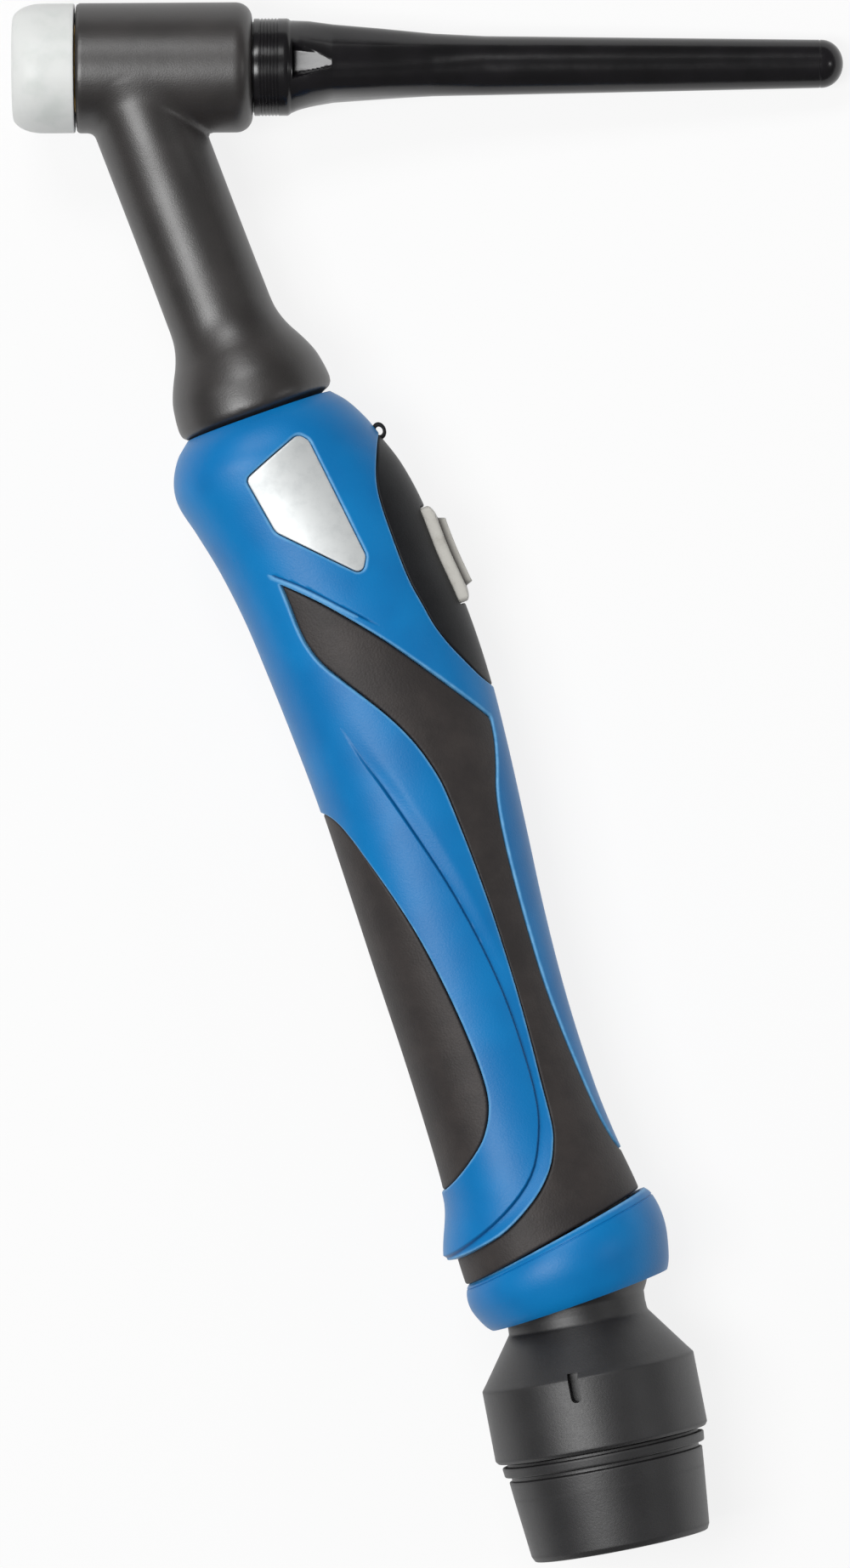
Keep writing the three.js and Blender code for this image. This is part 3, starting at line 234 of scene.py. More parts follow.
# %% [markdown]
# ## One way into every material
# Each finish starts the same way: a principled shader, and the place on the piece in millimetres, so that a
# grain of a quarter of a millimetre can be asked for by its real size. Object coordinates do that here,
# since every piece is drawn in metres and rides on its body.

# %% Starting a material
class Finish:
    """A material with one principled shader; `feed` takes what varies, `fix` what doesn't."""

    def __init__(self, name):
        self.material = bpy.data.materials.new(name)
        self.material.use_nodes = True
        self.tree = self.material.node_tree
        self.shader = self.tree.nodes["Principled BSDF"]
        self.start = Signal(self.tree)
        spot = self.start.node("TexCoord", output="Object")
        self.place = self.start.node("VectorMath", {"operation": "SCALE"}, {0: spot, 3: 1000.0})

    def fix(self, **values):
        for key, value in values.items():
            self.shader.inputs[key.replace("_", " ")].default_value = value

    def feed(self, **signals):
        for key, value in signals.items():
            self.tree.links.new(value.socket, self.shader.inputs[key.replace("_", " ")])

    def stored(self, name):
        """A value that the mesh carries on its points."""
        return self.start.node("Attribute", {"attribute_name": name}, output="Fac")

    def cloud(self, size, detail=2.0, rough=0.5, place=None):
        """Noise from 0 to 1 with blotches of about this many millimetres."""
        inputs = {"Vector": place or self.place, "Scale": 1.0 / size, "Detail": detail, "Roughness": rough}
        return self.start.node("TexNoise", {"noise_dimensions": "3D"}, inputs)

    def dots(self, size):
        """Distance from the nearest of many points, about this many millimetres apart."""
        inputs = {"Vector": self.place, "Scale": 1.0 / size}
        return self.start.node("TexVoronoi", {"feature": "F1"}, inputs)

    def stretch(self, lines, *sizes):
        """The place along a frame's lines, each divided by a size in mm, for a brushed or turned grain."""
        spots = {}
        for axis, size in enumerate(sizes):
            inputs = {0: self.place, 1: tuple(float(v) / size for v in lines[:3, axis])}
            spots[axis] = self.start.node("VectorMath", {"operation": "DOT_PRODUCT"}, inputs, output="Value")
        return self.start.node("CombineXYZ", {}, spots)

    def bumps(self, height):
        """Takes a height in millimetres."""
        self.feed(Normal=self.start.node("Bump", {}, {"Height": height, "Distance": 0.001}))


print("finishes ready")

# %% [markdown]
# ## Blue plastic
# The shells and the collar are moulded in a hard blue plastic with a satin spark-eroded grain. What makes
# it read as plastic and not paint is a broad soft highlight with a fine sparkle of grain in it, and colour
# that is never quite even. Its edges get a painted highlight, a paler blue along the corner radius, mixed
# with blotchy wear where they get handled, and the bottoms of the crease and engraved line get painted shade.

# %% Finish: blue plastic
def blue_plastic():
    finish = Finish("blue_plastic")
    grain = finish.cloud(0.35, detail=3.0, rough=0.6)
    flow = finish.cloud(14.0, detail=2.0)
    scuffs = finish.cloud(2.2, detail=4.0, rough=0.65)
    rim = finish.stored("rim")
    worn = rim.smooth(0.0, 0.7, 1.0, 0.0) * scuffs.smooth(0.35, 0.7)
    body = flow.smooth(0.3, 0.7).mix(colour(0, 116, 184), colour(0, 126, 195))
    # painted highlight: paler blue along every edge and along the line beside the engraved line, mixed with
    # blotchy wear near the edges
    edge = rim.smooth(0.1, 0.55, 0.5, 0.0) + worn * 0.35
    body = edge.mix(body, colour(118, 184, 230))
    # painted shade: darker blue at the bottom of the crease and of the engraved line
    finish.feed(Base_Color=(finish.stored("groove") * 0.8).mix(body, colour(0, 62, 116)))
    finish.feed(Roughness=0.36 + grain * 0.12 + worn * 0.1)
    finish.fix(IOR=1.5, Specular_IOR_Level=0.34)
    finish.bumps(grain * 0.035 + scuffs * 0.02)
    return finish.material


blue = blue_plastic()
print(blue.name, "has", len(blue.node_tree.nodes), "nodes")

# %% [markdown]
# ## Soft grip
# The dark inlays are a thermoplastic elastomer: nearly black with a brown cast, matt, and pressed against
# an eroded tool that leaves a leather-fine texture. Its sheen is wide and weak. Dust lies in the texture
# in soft blotches, and the colour goes darker within a little under a millimetre of the edges.

# %% Finish: soft grip
def soft_grip():
    finish = Finish("soft_grip")
    pores = finish.dots(0.45)
    grain = finish.cloud(0.3, detail=3.0, rough=0.6)
    dust = finish.cloud(9.0, detail=4.0, rough=0.6)
    rim = finish.stored("rim")
    body = dust.smooth(0.35, 0.75).mix(colour(42, 37, 36), colour(56, 50, 48))
    finish.feed(Base_Color=rim.smooth(0.0, 0.8, 0.6, 0.0).mix(body, colour(34, 30, 30)))
    finish.feed(Roughness=0.5 + grain * 0.16)
    finish.fix(IOR=1.45, Specular_IOR_Level=0.6)
    finish.bumps(pores * 0.03 + grain * 0.03)
    return finish.material


grip = soft_grip()
print(grip.name, "has", len(grip.node_tree.nodes), "nodes")

# %% [markdown]
# ## Silicone of the head
# The head and neck are dipped in a dark grey-brown silicone. It is smooth but not glossy: one wide
# highlight runs down the neck. Silicone picks up a faint bloom, drawn as large soft clouds, and holds tiny
# specks.

# %% Finish: silicone
def silicone():
    finish = Finish("silicone")
    bloom = finish.cloud(11.0, detail=3.0)
    grain = finish.cloud(0.28, detail=2.0)
    specks = finish.cloud(0.9, detail=5.0, rough=0.7).smooth(0.66, 0.8)
    body = bloom.smooth(0.3, 0.75).mix(colour(34, 31, 30), colour(44, 40, 39))
    finish.feed(Base_Color=(specks * 0.3).mix(body, colour(104, 98, 92)))
    finish.feed(Roughness=0.36 + bloom * 0.1 + specks * 0.1)
    finish.fix(IOR=1.5, Specular_IOR_Level=1.0)
    finish.bumps(grain * 0.022 + bloom * 0.12)
    return finish.material


rubber = silicone()
print(rubber.name, "has", len(rubber.node_tree.nodes), "nodes")

# %% [markdown]
# ## White gasket
# The cup's seat is turned from a white fluoroplastic. Light goes a little way into it, so it glows at its
# edges instead of going grey; a small subsurface weight does that. The lathe leaves faint rings along its
# length.

# %% Finish: white gasket
def white_plastic():
    finish = Finish("white_gasket")
    rings = finish.cloud(1.0, detail=2.0, place=finish.stretch(HEAD, 0.18, 60.0, 60.0))
    stain = finish.cloud(5.0, detail=3.0)
    body = stain.smooth(0.45, 0.8).mix(colour(230, 232, 230), colour(219, 223, 220))
    finish.feed(Base_Color=body)
    finish.feed(Roughness=0.34 + rings * 0.12)
    finish.fix(IOR=1.38, Subsurface_Weight=0.25, Subsurface_Radius=(1.0, 1.0, 0.95), Subsurface_Scale=0.002)
    finish.bumps(rings * 0.012)
    return finish.material


white = white_plastic()
print(white.name, "has", len(white.node_tree.nodes), "nodes")

# %% [markdown]
# ## Glossy black cap
# The back cap is pressed from a hard black resin with a polished tool. It works like a dark mirror: nearly
# all of its look is the studio around it. Fine handling scratches lie along the cap and break the
# reflections up a bit.

# %% Finish: glossy black
def glossy_black():
    finish = Finish("black_cap")
    scratches = finish.cloud(1.0, detail=3.0, rough=0.7, place=finish.stretch(HEAD, 14.0, 0.35, 0.35))
    film = finish.cloud(8.0, detail=3.0)
    body = film.smooth(0.3, 0.8).mix(colour(15, 14, 16), colour(24, 22, 25))
    finish.feed(Base_Color=body)
    finish.feed(Roughness=0.14 + scratches * 0.08 + film * 0.08)
    finish.fix(IOR=1.45, Specular_IOR_Level=0.6)
    finish.bumps(scratches * 0.006 + film * 0.08)
    return finish.material


cap_black = glossy_black()
print(cap_black.name, "has", len(cap_black.node_tree.nodes), "nodes")

# %% [markdown]
# ## Satin black of the knuckle
# The ball joint's bell and the hose sleeve are glass-filled nylon: dark grey, satin, with the glass making
# a fine mottle that shows in the highlight.

# %% Finish: satin black
def satin_black(name="black_plastic", dark=(19, 18, 20), light=(27, 26, 28), shine=0.85):
    finish = Finish(name)
    fibre = finish.cloud(0.4, detail=4.0, rough=0.7)
    mottle = finish.cloud(6.0, detail=3.0)
    rim = finish.stored("rim")
    body = mottle.smooth(0.3, 0.75).mix(colour(*dark), colour(*light))
    finish.feed(Base_Color=(fibre.smooth(0.6, 0.85) * 0.15).mix(body, colour(76, 72, 74)))
    finish.feed(Roughness=0.4 + fibre * 0.14 + rim.smooth(0.0, 0.5, 0.04, 0.0))
    finish.fix(IOR=1.52, Specular_IOR_Level=shine)
    finish.bumps(fibre * 0.03 + mottle * 0.04)
    return finish.material


nylon = satin_black()
print(nylon.name, "has", len(nylon.node_tree.nodes), "nodes")

# %% [markdown]
# ## The small parts' finishes
# The button is a warm light grey plastic, with painted shade along the foot of its bar and faintly along
# its edges. The badge is a brushed plate under a clear lacquer, so it is only half as metallic as bare
# metal. Inside are turned brass, drawn copper, steel screws and a rubber ring. The metals share one recipe:
# a metallic shader whose roughness follows a grain that is long one way and short the other.

# %% Finishes: grey plastic, metals and black rubber
def grey_plastic():
    finish = Finish("grey_plastic")
    grain = finish.cloud(0.3, detail=3.0)
    grime = finish.cloud(2.5, detail=4.0, rough=0.65)
    rim = finish.stored("rim")
    body = grime.smooth(0.45, 0.8).mix(colour(204, 202, 195), colour(182, 179, 171))
    # painted shade: darker at the foot of the bar and faintly along the plate's edges
    finish.feed(Base_Color=rim.smooth(0.0, 0.62, 0.9, 0.0).mix(body, colour(74, 70, 66)))
    finish.feed(Roughness=0.42 + grain * 0.14)
    finish.bumps(grain * 0.03)
    return finish.material


def metal(name, pale, dark, rough, along, grain_size, metallic=1.0):
    finish = Finish(name)
    lines = finish.cloud(1.0, detail=3.0, rough=0.6, place=finish.stretch(along, *grain_size))
    tarnish = finish.cloud(3.0, detail=4.0, rough=0.6)
    finish.feed(Base_Color=(tarnish.smooth(0.4, 0.8) * 0.6).mix(colour(*pale), colour(*dark)))
    finish.feed(Roughness=rough + lines * 0.14 + tarnish * 0.06)
    finish.fix(Metallic=metallic)
    finish.bumps(lines * 0.01)
    return finish.material


def black_rubber():
    finish = Finish("black_rubber")
    grain = finish.cloud(0.2, detail=2.0)
    finish.feed(Base_Color=grain.smooth(0.3, 0.7).mix(colour(26, 25, 26), colour(38, 37, 38)))
    finish.feed(Roughness=0.6 + grain * 0.2)
    finish.bumps(grain * 0.02)
    return finish.material


grey = grey_plastic()
silver = metal("badge", (222, 225, 225), (196, 200, 201), 0.4, HANDLE, (9.0, 0.12, 9.0), metallic=0.5)
brass = metal("brass", (196, 158, 88), (150, 112, 58), 0.24, HEAD, (0.2, 4.0, 4.0))
copper = metal("copper", (190, 120, 82), (140, 84, 60), 0.3, HANDLE, (0.4, 5.0, 0.4))
steel = metal("steel", (168, 170, 174), (120, 122, 126), 0.28, HANDLE, (1.0, 1.0, 1.0))
ring_rubber = black_rubber()
print("materials:", len(bpy.data.materials))

# %% [markdown]
# ## Making a mesh and laying it in place
# Every piece ends the same way: its points go from millimetres in their own frame to metres in the model's,
# its faces are turned outwards, and it is tied to the body that carries it. The float attribute `rim` says
# how many millimetres a point is from an edge, and a second one how deep it lies in a groove, from 0 to 1.
# The finishes read them: by the first they paint pale highlight and wear, painted shade and darker edges,
# and vary the roughness; by the second they paint shade.

# %% From points to a piece
FAR_FROM_EDGE = 9.0  # stands for a point with no edge near it
SHARP_ANGLE = 35.0  # faces that meet at more degrees than this are shaded with a crisp edge


def fan_triangles(faces):
    return np.array([(f[0], f[i], f[i + 1]) for f in faces for i in range(1, len(f) - 1)])


def signed_volume(points, faces):
    corners = points[fan_triangles(faces)]
    return np.einsum("ij,ij->i", corners[:, 0], np.cross(corners[:, 1], corners[:, 2])).sum() / 6


def piece(name, points, faces, place, body, finish, slot, replaces=(), rim=None, groove=None,
          sharp=SHARP_ANGLE):
    points = np.asarray(points, float) @ place[:3, :3].T + place[:3, 3]
    if signed_volume(points, faces) < 0:
        faces = [tuple(reversed(face)) for face in faces]
    mesh = bpy.data.meshes.new(name)
    mesh.from_pydata((points / 1000).tolist(), [], [tuple(int(i) for i in face) for face in faces])
    mesh.shade_smooth()
    mesh.set_sharp_from_angle(angle=math.radians(sharp))
    for label, values, plain in (("rim", rim, FAR_FROM_EDGE), ("groove", groove, 0.0)):
        values = np.full(len(points), plain) if values is None else np.array(values, float)
        mesh.attributes.new(label, "FLOAT", "POINT").data.foreach_set("value", values)
    mesh.materials.append(finish)
    made = bpy.data.objects.new(name, mesh)
    bpy.context.scene.collection.objects.link(made)
    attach(made, body)
    if replaces:
        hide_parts(*replaces)
    print(f"{name}: {len(mesh.polygons)} faces on {body}")
    return made


# %% [markdown]
# ## Turned pieces
# The gasket, the cap's collar, the ball joint's bell and the hose sleeve are round, so they are turned: an
# outline is drawn once and spun. What separates a good turned piece from a plain cylinder is its edges.
# Each corner of the outline carries its own rounding radius, and a few extra rings beside it keep the
# shading from bleeding.

# %% Outlines with rounded corners, spun round a line
CORNER_SHARE = 0.48  # a rounding takes at most this share of each straight beside it


def rounded(corners, steps=4):
    """(x, y, radius) corners to a closed line of points, and how far each is from a rounded outer corner."""
    flat = np.array([corner[:2] for corner in corners])
    after = np.roll(flat, -1, axis=0)
    turn = np.sign(np.sum(flat[:, 0] * after[:, 1] - after[:, 0] * flat[:, 1]))
    points, edge = [], []
    for i, (x, y, radius) in enumerate(corners):
        here = np.array((x, y))
        back, ahead = flat[i - 1] - here, flat[(i + 1) % len(flat)] - here
        if radius <= 0:
            points.append(here)
            edge.append(False)
            continue
        long_back, long_ahead = np.linalg.norm(back), np.linalg.norm(ahead)
        back, ahead = back / long_back, ahead / long_ahead
        half = math.acos(np.clip(back @ ahead, -1, 1)) / 2
        reach = min(radius / math.tan(half), CORNER_SHARE * long_back, CORNER_SHARE * long_ahead)
        radius = reach * math.tan(half)
        outer = turn * (back[0] * ahead[1] - back[1] * ahead[0]) < 0
        centre = here + (back + ahead) / np.linalg.norm(back + ahead) * radius / math.sin(half)
        first, last = here + back * reach - centre, here + ahead * reach - centre
        sweep = math.pi - 2 * half
        for k in range(steps + 1):
            share = k / steps
            weights = math.sin((1 - share) * sweep), math.sin(share * sweep)
            points.append(centre + (weights[0] * first + weights[1] * last) / math.sin(sweep))
            edge.append(outer)
    return relaxed(np.array(points), edge)


def relaxed(points, edge, ends=0.25, most=1.6):
    """Adds points along the straights, close to their ends and at least every `most` millimetres."""
    line, rubbed = [], []
    for i, (a, b) in enumerate(zip(points, np.roll(points, -1, axis=0))):
        line.append(a)
        rubbed.append(edge[i])
        length = np.linalg.norm(b - a)
        if length > 3 * ends:
            inner = max(1, math.ceil((length - 2 * ends) / most))
            stops = [ends + (length - 2 * ends) * k / inner for k in range(inner + 1)]
            line += [a + (b - a) * stop / length for stop in stops]
            rubbed += [False] * len(stops)
    line, rubbed = np.array(line), np.array(rubbed)
    gaps = np.linalg.norm(line[:, None] - line[rubbed][None], axis=2)
    return line, gaps.min(axis=1)


def spun(outline, steps):
    """Spins (along, radius) points round the frame's X axis."""
    turns = np.linspace(0, 2 * math.pi, steps, endpoint=False)
    points, rings = [], []
    for along, radius in outline:
        rings.append(list(range(len(points), len(points) + steps)))
        points += [(along, radius * math.cos(t), radius * math.sin(t)) for t in turns]
    return points, ring_faces(rings, True)


def ring_faces(rings, closed):
    """Faces between each ring of points and the next; a ring may be one point, said over and over."""
    faces = []
    pairs = list(zip(rings, rings[1:])) + ([(rings[-1], rings[0])] if closed else [])
    for low, high in pairs:
        for k in range(len(low)):
            n = (k + 1) % len(low)
            face = list(dict.fromkeys((low[k], low[n], high[n], high[k])))
            if len(face) > 2:
                faces.append(tuple(face))
    return faces


def turned(name, corners, place, body, finish, slot, steps=96, **more):
    outline, rim = rounded(corners)
    points, faces = spun(outline, steps)
    return piece(name, points, faces, place, body, finish, slot, rim=np.repeat(rim, steps), **more)


# %% [markdown]
# ## The cup gasket
# A white ring that the ceramic cup seats on. Its front edge is a long soft round, 5.5 mm along and 3 mm
# deep, and its bore fits the brass nose. The rear edge is nearly sharp, so a fine line shows where it meets
# the silicone.

# %% Piece: cup gasket
GASKET_RADIUS = 11.8
GASKET_REAR = -10.7
GASKET_FRONT = -22.0
GASKET_BORE = 6.5
FRONT_ROUND = (5.5, 3.0)  # along and deep


def front_round(steps=14):
    along, deep = FRONT_ROUND
    corners = []
    for turn in np.linspace(0, math.pi / 2, steps + 1):
        x = GASKET_FRONT + along * (1 - math.sin(turn))
        corners.append((x, GASKET_RADIUS - deep * (1 - math.cos(turn)), 0.0))
    return corners


gasket_corners = [
    (GASKET_REAR, GASKET_BORE, 0.2),
    (GASKET_REAR, GASKET_RADIUS, 0.25),
    *front_round(),
    (GASKET_FRONT, GASKET_BORE, 0.5),
]
turned("gasket", gasket_corners, HEAD, "torch", white, slot="white_gasket", replaces=["cup_gasket"])

# %% [markdown]
# ## The back cap
# The cap screws into the rear of the head and holds the electrode. Its collar is a short cylinder with fine
# turned lines, then flutes and ridges give the fingers a grip, and a slim tapering tube covers the long
# electrode. The section changes along the length, so it is built ring by ring: a circle plus three ridges
# that fade out, with three flutes cut into it behind the collar. A flute has a flat floor that rises to the
# tube's skin and gets narrower on its way, and it starts with a crisp edge, so two rings lie close together
# there.

# %% Piece: back cap
CAP_RADIUS = 8.87
CAP_STATIONS = np.array([  # along the cap, radius, height of the three ridges
    (29.0, 8.3, 0.2), (30.2, 7.75, 0.75), (32.0, 7.2, 1.25), (36.4, 6.1, 1.75), (45.4, 5.7, 1.3),
    (54.7, 5.4, 0.6), (64.0, 5.35, 0.1), (95.0, 4.9, 0.0), (125.0, 4.4, 0.0),
])
CAP_RIDGE_TURNS = [math.radians(100 + 120 * i) for i in range(3)]
CAP_FLUTES = ((29.02, 5.7, 22), (36.2, 6.7, 9))  # along the cap, floor from its line, half width in degrees
CAP_FLUTE_TURNS = [math.radians(6.5 + 120 * i) for i in range(3)]
CAP_FLOOR_LEAN = math.radians(-7), math.radians(-15)  # the floors twist a little on their way
CAP_FRONT = 22.0
CAP_STEP = 21.77  # a narrower ring closes the gap to the barrel
STEP_RADIUS = 8.3
COLLAR_LINES = 6  # fine turned lines on the cap's collar, and how far apart they are
COLLAR_LINE_PITCH = 0.62
TIP_START = 125.0
TIP_RADIUS = 4.4
TIP_LENGTH = 4.0
SPIGOT_RADIUS = 5.58  # the part that goes into the head
SPIGOT_END = 9.55
ELECTRODE_RADIUS = 2.2  # room inside for the electrode, as deep as given
ELECTRODE_DEPTH = 90.0


def cap_section(along):
    radius, ridge = (np.interp(along, CAP_STATIONS[:, 0], CAP_STATIONS[:, column]) for column in (1, 2))
    return radius, ridge


def fluted(reach, along, angles):
    """Takes the three flutes out of one ring."""
    (start, low, wide), (end, high, narrow) = CAP_FLUTES
    if not start <= along <= end:
        return reach
    share = (along - start) / (end - start)
    floor, half = low + (high - low) * share, wide + (narrow - wide) * share
    lean = CAP_FLOOR_LEAN[0] + (CAP_FLOOR_LEAN[1] - CAP_FLOOR_LEAN[0]) * share
    for turn in CAP_FLUTE_TURNS:
        off = np.degrees(np.abs(np.angle(np.exp(1j * (angles - turn)))))
        inside = np.clip((half + 1.5 - off) / 3.0, 0, 1)
        cut = np.minimum(reach, floor / np.maximum(np.cos(angles - turn - lean), 0.3))
        reach = reach + (cut - reach) * inside
    return reach


def cap_inside():
    """(along, radius) of the electrode's room, from its closed end, and of the spigot round it."""
    deep = CAP_FRONT + ELECTRODE_DEPTH
    return [(deep + 0.5, 0.0), (deep, ELECTRODE_RADIUS), (SPIGOT_END, ELECTRODE_RADIUS),
            (SPIGOT_END, SPIGOT_RADIUS - 0.38), (SPIGOT_END + 0.45, SPIGOT_RADIUS - 0.03),
            (SPIGOT_END + 6.45, SPIGOT_RADIUS), (CAP_FRONT - 0.05, SPIGOT_RADIUS)]


def cap_collar():
    """(along, radius) of the step, the collar with its fine lines and the collar's rounded rear edge."""
    rings = [(CAP_STEP, 5.0), (CAP_STEP, STEP_RADIUS - 0.1), (CAP_STEP + 0.05, STEP_RADIUS)]
    rings += [(CAP_FRONT, STEP_RADIUS), (CAP_FRONT, CAP_RADIUS - 0.15)]
    rings += [(CAP_FRONT + 0.04, CAP_RADIUS - 0.04), (CAP_FRONT + 0.15, CAP_RADIUS)]
    for k in range(COLLAR_LINES):
        line = CAP_FRONT + 1.0 + COLLAR_LINE_PITCH * k
        for step, depth in ((0.0, 0.0), (0.12, 0.12), (0.26, 0.12), (0.38, 0.0)):
            rings.append((line + step, CAP_RADIUS - depth))
    rings += [(27.4, CAP_RADIUS), (28.05, CAP_RADIUS), (28.35, CAP_RADIUS - 0.12), (28.6, CAP_RADIUS - 0.35)]
    return rings


def cap_tip(steps=12):
    """(along, radius) of the fine line before the tip and of the tip itself."""
    rings = [(TIP_START, TIP_RADIUS), (TIP_START + 0.08, TIP_RADIUS - 0.07)]
    rings += [(TIP_START + 0.2, TIP_RADIUS - 0.07), (TIP_START + 0.28, TIP_RADIUS)]
    for angle in np.linspace(0, math.pi / 2, steps, endpoint=False):
        rings.append((TIP_START + 0.4 + TIP_LENGTH * math.sin(angle), TIP_RADIUS * math.cos(angle)))
    return rings + [(TIP_START + 0.4 + TIP_LENGTH, 0.0)]


def cap_rings():
    """(along, radius, ridge) of every ring, from the electrode's room out and back to the tip."""
    (flute_start, _, _), (flute_end, _, _) = CAP_FLUTES
    places = [29.0, flute_start, *np.arange(29.4, 36.0, 0.4), flute_end, flute_end + 0.03]
    places += [*np.arange(36.6, 66.0, 0.6), *np.arange(66.0, TIP_START, 2.5)]
    rings = [(along, radius, 0.0) for along, radius in cap_inside() + cap_collar()]
    rings += [(28.8, CAP_RADIUS - 0.5, 0.1)]
    rings += [(along, *cap_section(along)) for along in places]
    return rings + [(along, radius, 0.0) for along, radius in cap_tip()]


def make_cap(steps=240):
    angles = np.linspace(0, 2 * math.pi, steps, endpoint=False)
    lean = np.max([np.cos(angles - turn) for turn in CAP_RIDGE_TURNS], axis=0)
    points, index = [], []
    for along, radius, ridge in cap_rings():
        if radius == 0:
            index.append([len(points)] * steps)
            points.append((along, 0.0, 0.0))
            continue
        reach = fluted(radius + ridge * np.clip(lean, 0, 1) ** 6, along, angles)
        index.append(list(range(len(points), len(points) + steps)))
        points += list(zip(np.full(steps, along), reach * np.sin(angles), reach * np.cos(angles)))
    return piece("long_back_cap", points, ring_faces(index, False), HEAD, "cap", cap_black, slot="black_cap",
                 replaces=["back_cap"])


make_cap()

# %% [markdown]
# ## The knuckle's bell
# Below the collar the torch turns on a ball: the black bell is ball, neck and bell in one moulding. Its
# shoulder is crisp, the neck above it curves in gently, and a short slot beside the shoulder takes a tool.
# The slot is cut with a boolean that is applied at once, so that the piece carries no modifier.

# %% Piece: knuckle bell
BALL_RADIUS = 15.0
THROAT_RADIUS = 10.8
BELL_NECK = 12.85
BELL_RADIUS = 19.65
BELL_LIP = 33.9
BELL_BORE = 15.9
RIB_PLACE = 28.6  # the sleeve's rib snaps into a groove of the bell here
RIB_HEIGHT = 0.7
GROOVE_HALF = 1.2
SLOT_ENDS = (19.2, 24.6)
SLOT_HALF = 0.95
SLOT_DEPTH = 3.2
SLOT_TURN = 9.0  # degrees round the bell from the seen side


def bell_corners():
    start = -math.acos((THROAT_RADIUS + 0.6) / BALL_RADIUS)
    stop = math.acos(BELL_NECK / BALL_RADIUS)
    turns = np.linspace(start, stop, 26)
    ball = [(BALL_RADIUS * math.sin(t), BALL_RADIUS * math.cos(t), 0.0) for t in turns]
    return [
        (ball[0][0], THROAT_RADIUS, 0.3),
        *ball,
        (9.4, BELL_NECK - 0.1, 0.8),
        (11.1, BELL_NECK, 1.0),
        (19.1, 18.65, 1.2),
        (20.35, 19.6, 0.5),
        (BELL_LIP - 0.6, BELL_RADIUS, 0.4),
        (BELL_LIP, 19.2, 0.3),
        (BELL_LIP, BELL_BORE, 0.2),
        (RIB_PLACE + GROOVE_HALF, BELL_BORE, 0.0),
        (RIB_PLACE + GROOVE_HALF, BELL_BORE + RIB_HEIGHT, 0.0),
        (RIB_PLACE - GROOVE_HALF, BELL_BORE + RIB_HEIGHT, 0.0),
        (RIB_PLACE - GROOVE_HALF, BELL_BORE, 0.0),
        (22.5, BELL_BORE, 0.0),
        (13.1, THROAT_RADIUS, 0.5),
    ]


def cut_out(target, points, faces, place):
    """Cuts a plain solid, given in millimetres in its own frame, out of a piece for good."""
    points = np.asarray(points, float) @ place[:3, :3].T + place[:3, 3]
    mesh = bpy.data.meshes.new("cutter")
    mesh.from_pydata((points / 1000).tolist(), [], faces)
    cutter = bpy.data.objects.new("cutter", mesh)
    bpy.context.scene.collection.objects.link(cutter)
    modifier = target.modifiers.new("cut", "BOOLEAN")
    modifier.operation = "DIFFERENCE"
    modifier.solver = "EXACT"
    modifier.object = cutter
    bpy.context.view_layer.update()
    cut = target.evaluated_get(bpy.context.evaluated_depsgraph_get())
    solid = bpy.data.meshes.new_from_object(cut)
    target.modifiers.clear()
    old, target.data = target.data, solid
    bpy.data.meshes.remove(old)
    bpy.data.objects.remove(cutter)
    target.data.set_sharp_from_angle(angle=math.radians(SHARP_ANGLE))


def slot_solid(steps=12):
    """An upright prism along the knuckle's line whose far end is round."""
    start, end = SLOT_ENDS
    outline = [(start, SLOT_HALF), (start, -SLOT_HALF)]
    for turn in np.linspace(-math.pi / 2, math.pi / 2, steps):
        outline.append((end - SLOT_HALF * (1 - math.cos(turn)), SLOT_HALF * math.sin(turn)))
    count = len(outline)
    points = [(x, y, z) for z in (BELL_RADIUS - SLOT_DEPTH, BELL_RADIUS + 2) for x, y in outline]
    sides = [(i, (i + 1) % count, count + (i + 1) % count, count + i) for i in range(count)]
    return points, [tuple(range(count))[::-1], tuple(range(count, 2 * count)), *sides]


bell = turned("knuckle_bell", bell_corners(), KNUCKLE_LINE, "knuckle", nylon, slot="black_plastic",
              replaces=["knuckle_ball_cup"])
slot_place = KNUCKLE_LINE @ np.array(Matrix.Rotation(math.radians(SLOT_TURN), 4, "X"))
cut_out(bell, *slot_solid(), slot_place)
print("slot cut:", len(bell.data.polygons), "faces")

# %% [markdown]
# ## The hose sleeve
# The sleeve snaps into the bell with a rib and turns there, so that the hose package isn't twisted. Under
# the bell's lip it has a narrow band between two fine grooves. Below them it tapers to a rim with a small
# bevel.

# %% Piece: hose sleeve
SLEEVE_BORE = 13.8
SPIGOT = 15.6
RIB_HALF = 0.9
sleeve_corners = [
    (22.8, SLEEVE_BORE, 0.2),
    (22.8, SPIGOT, 0.3),
    (RIB_PLACE - RIB_HALF, SPIGOT, 0.0),
    (RIB_PLACE - RIB_HALF, SPIGOT + RIB_HEIGHT, 0.0),
    (RIB_PLACE + RIB_HALF, SPIGOT + RIB_HEIGHT, 0.0),
    (RIB_PLACE + RIB_HALF, SPIGOT, 0.0),
    (34.1, SPIGOT, 0.0),
    (34.1, 17.7, 0.1),
    (34.6, 17.7, 0.0),
    (34.7, 18.7, 0.3),
    (36.5, 18.5, 0.3),
    (36.65, 17.35, 0.1),
    (37.3, 17.35, 0.15),
    (37.5, 17.9, 0.2),
    (40.9, 17.6, 2.0),
    (51.6, 16.5, 0.6),
    (52.6, 16.0, 0.35),
    (52.6, SLEEVE_BORE, 0.4),
]
turned("turning_sleeve", sleeve_corners, KNUCKLE_LINE, "sleeve", nylon, slot="black_plastic",
       replaces=["hose_sleeve"])

# %% [markdown]
# ## Soft forms from distances
# The head is one silicone moulding: a round barrel, a neck that leaves it with a small soft fillet, and a
# flare that grips the handle's mouth. Such blends are awkward with loops of faces, but easy with distances:
# each form says how far a point is from its surface, and a smooth minimum melts two forms together. A
# surface net then wraps the result, and a few Newton steps pull every point exactly onto the surface.

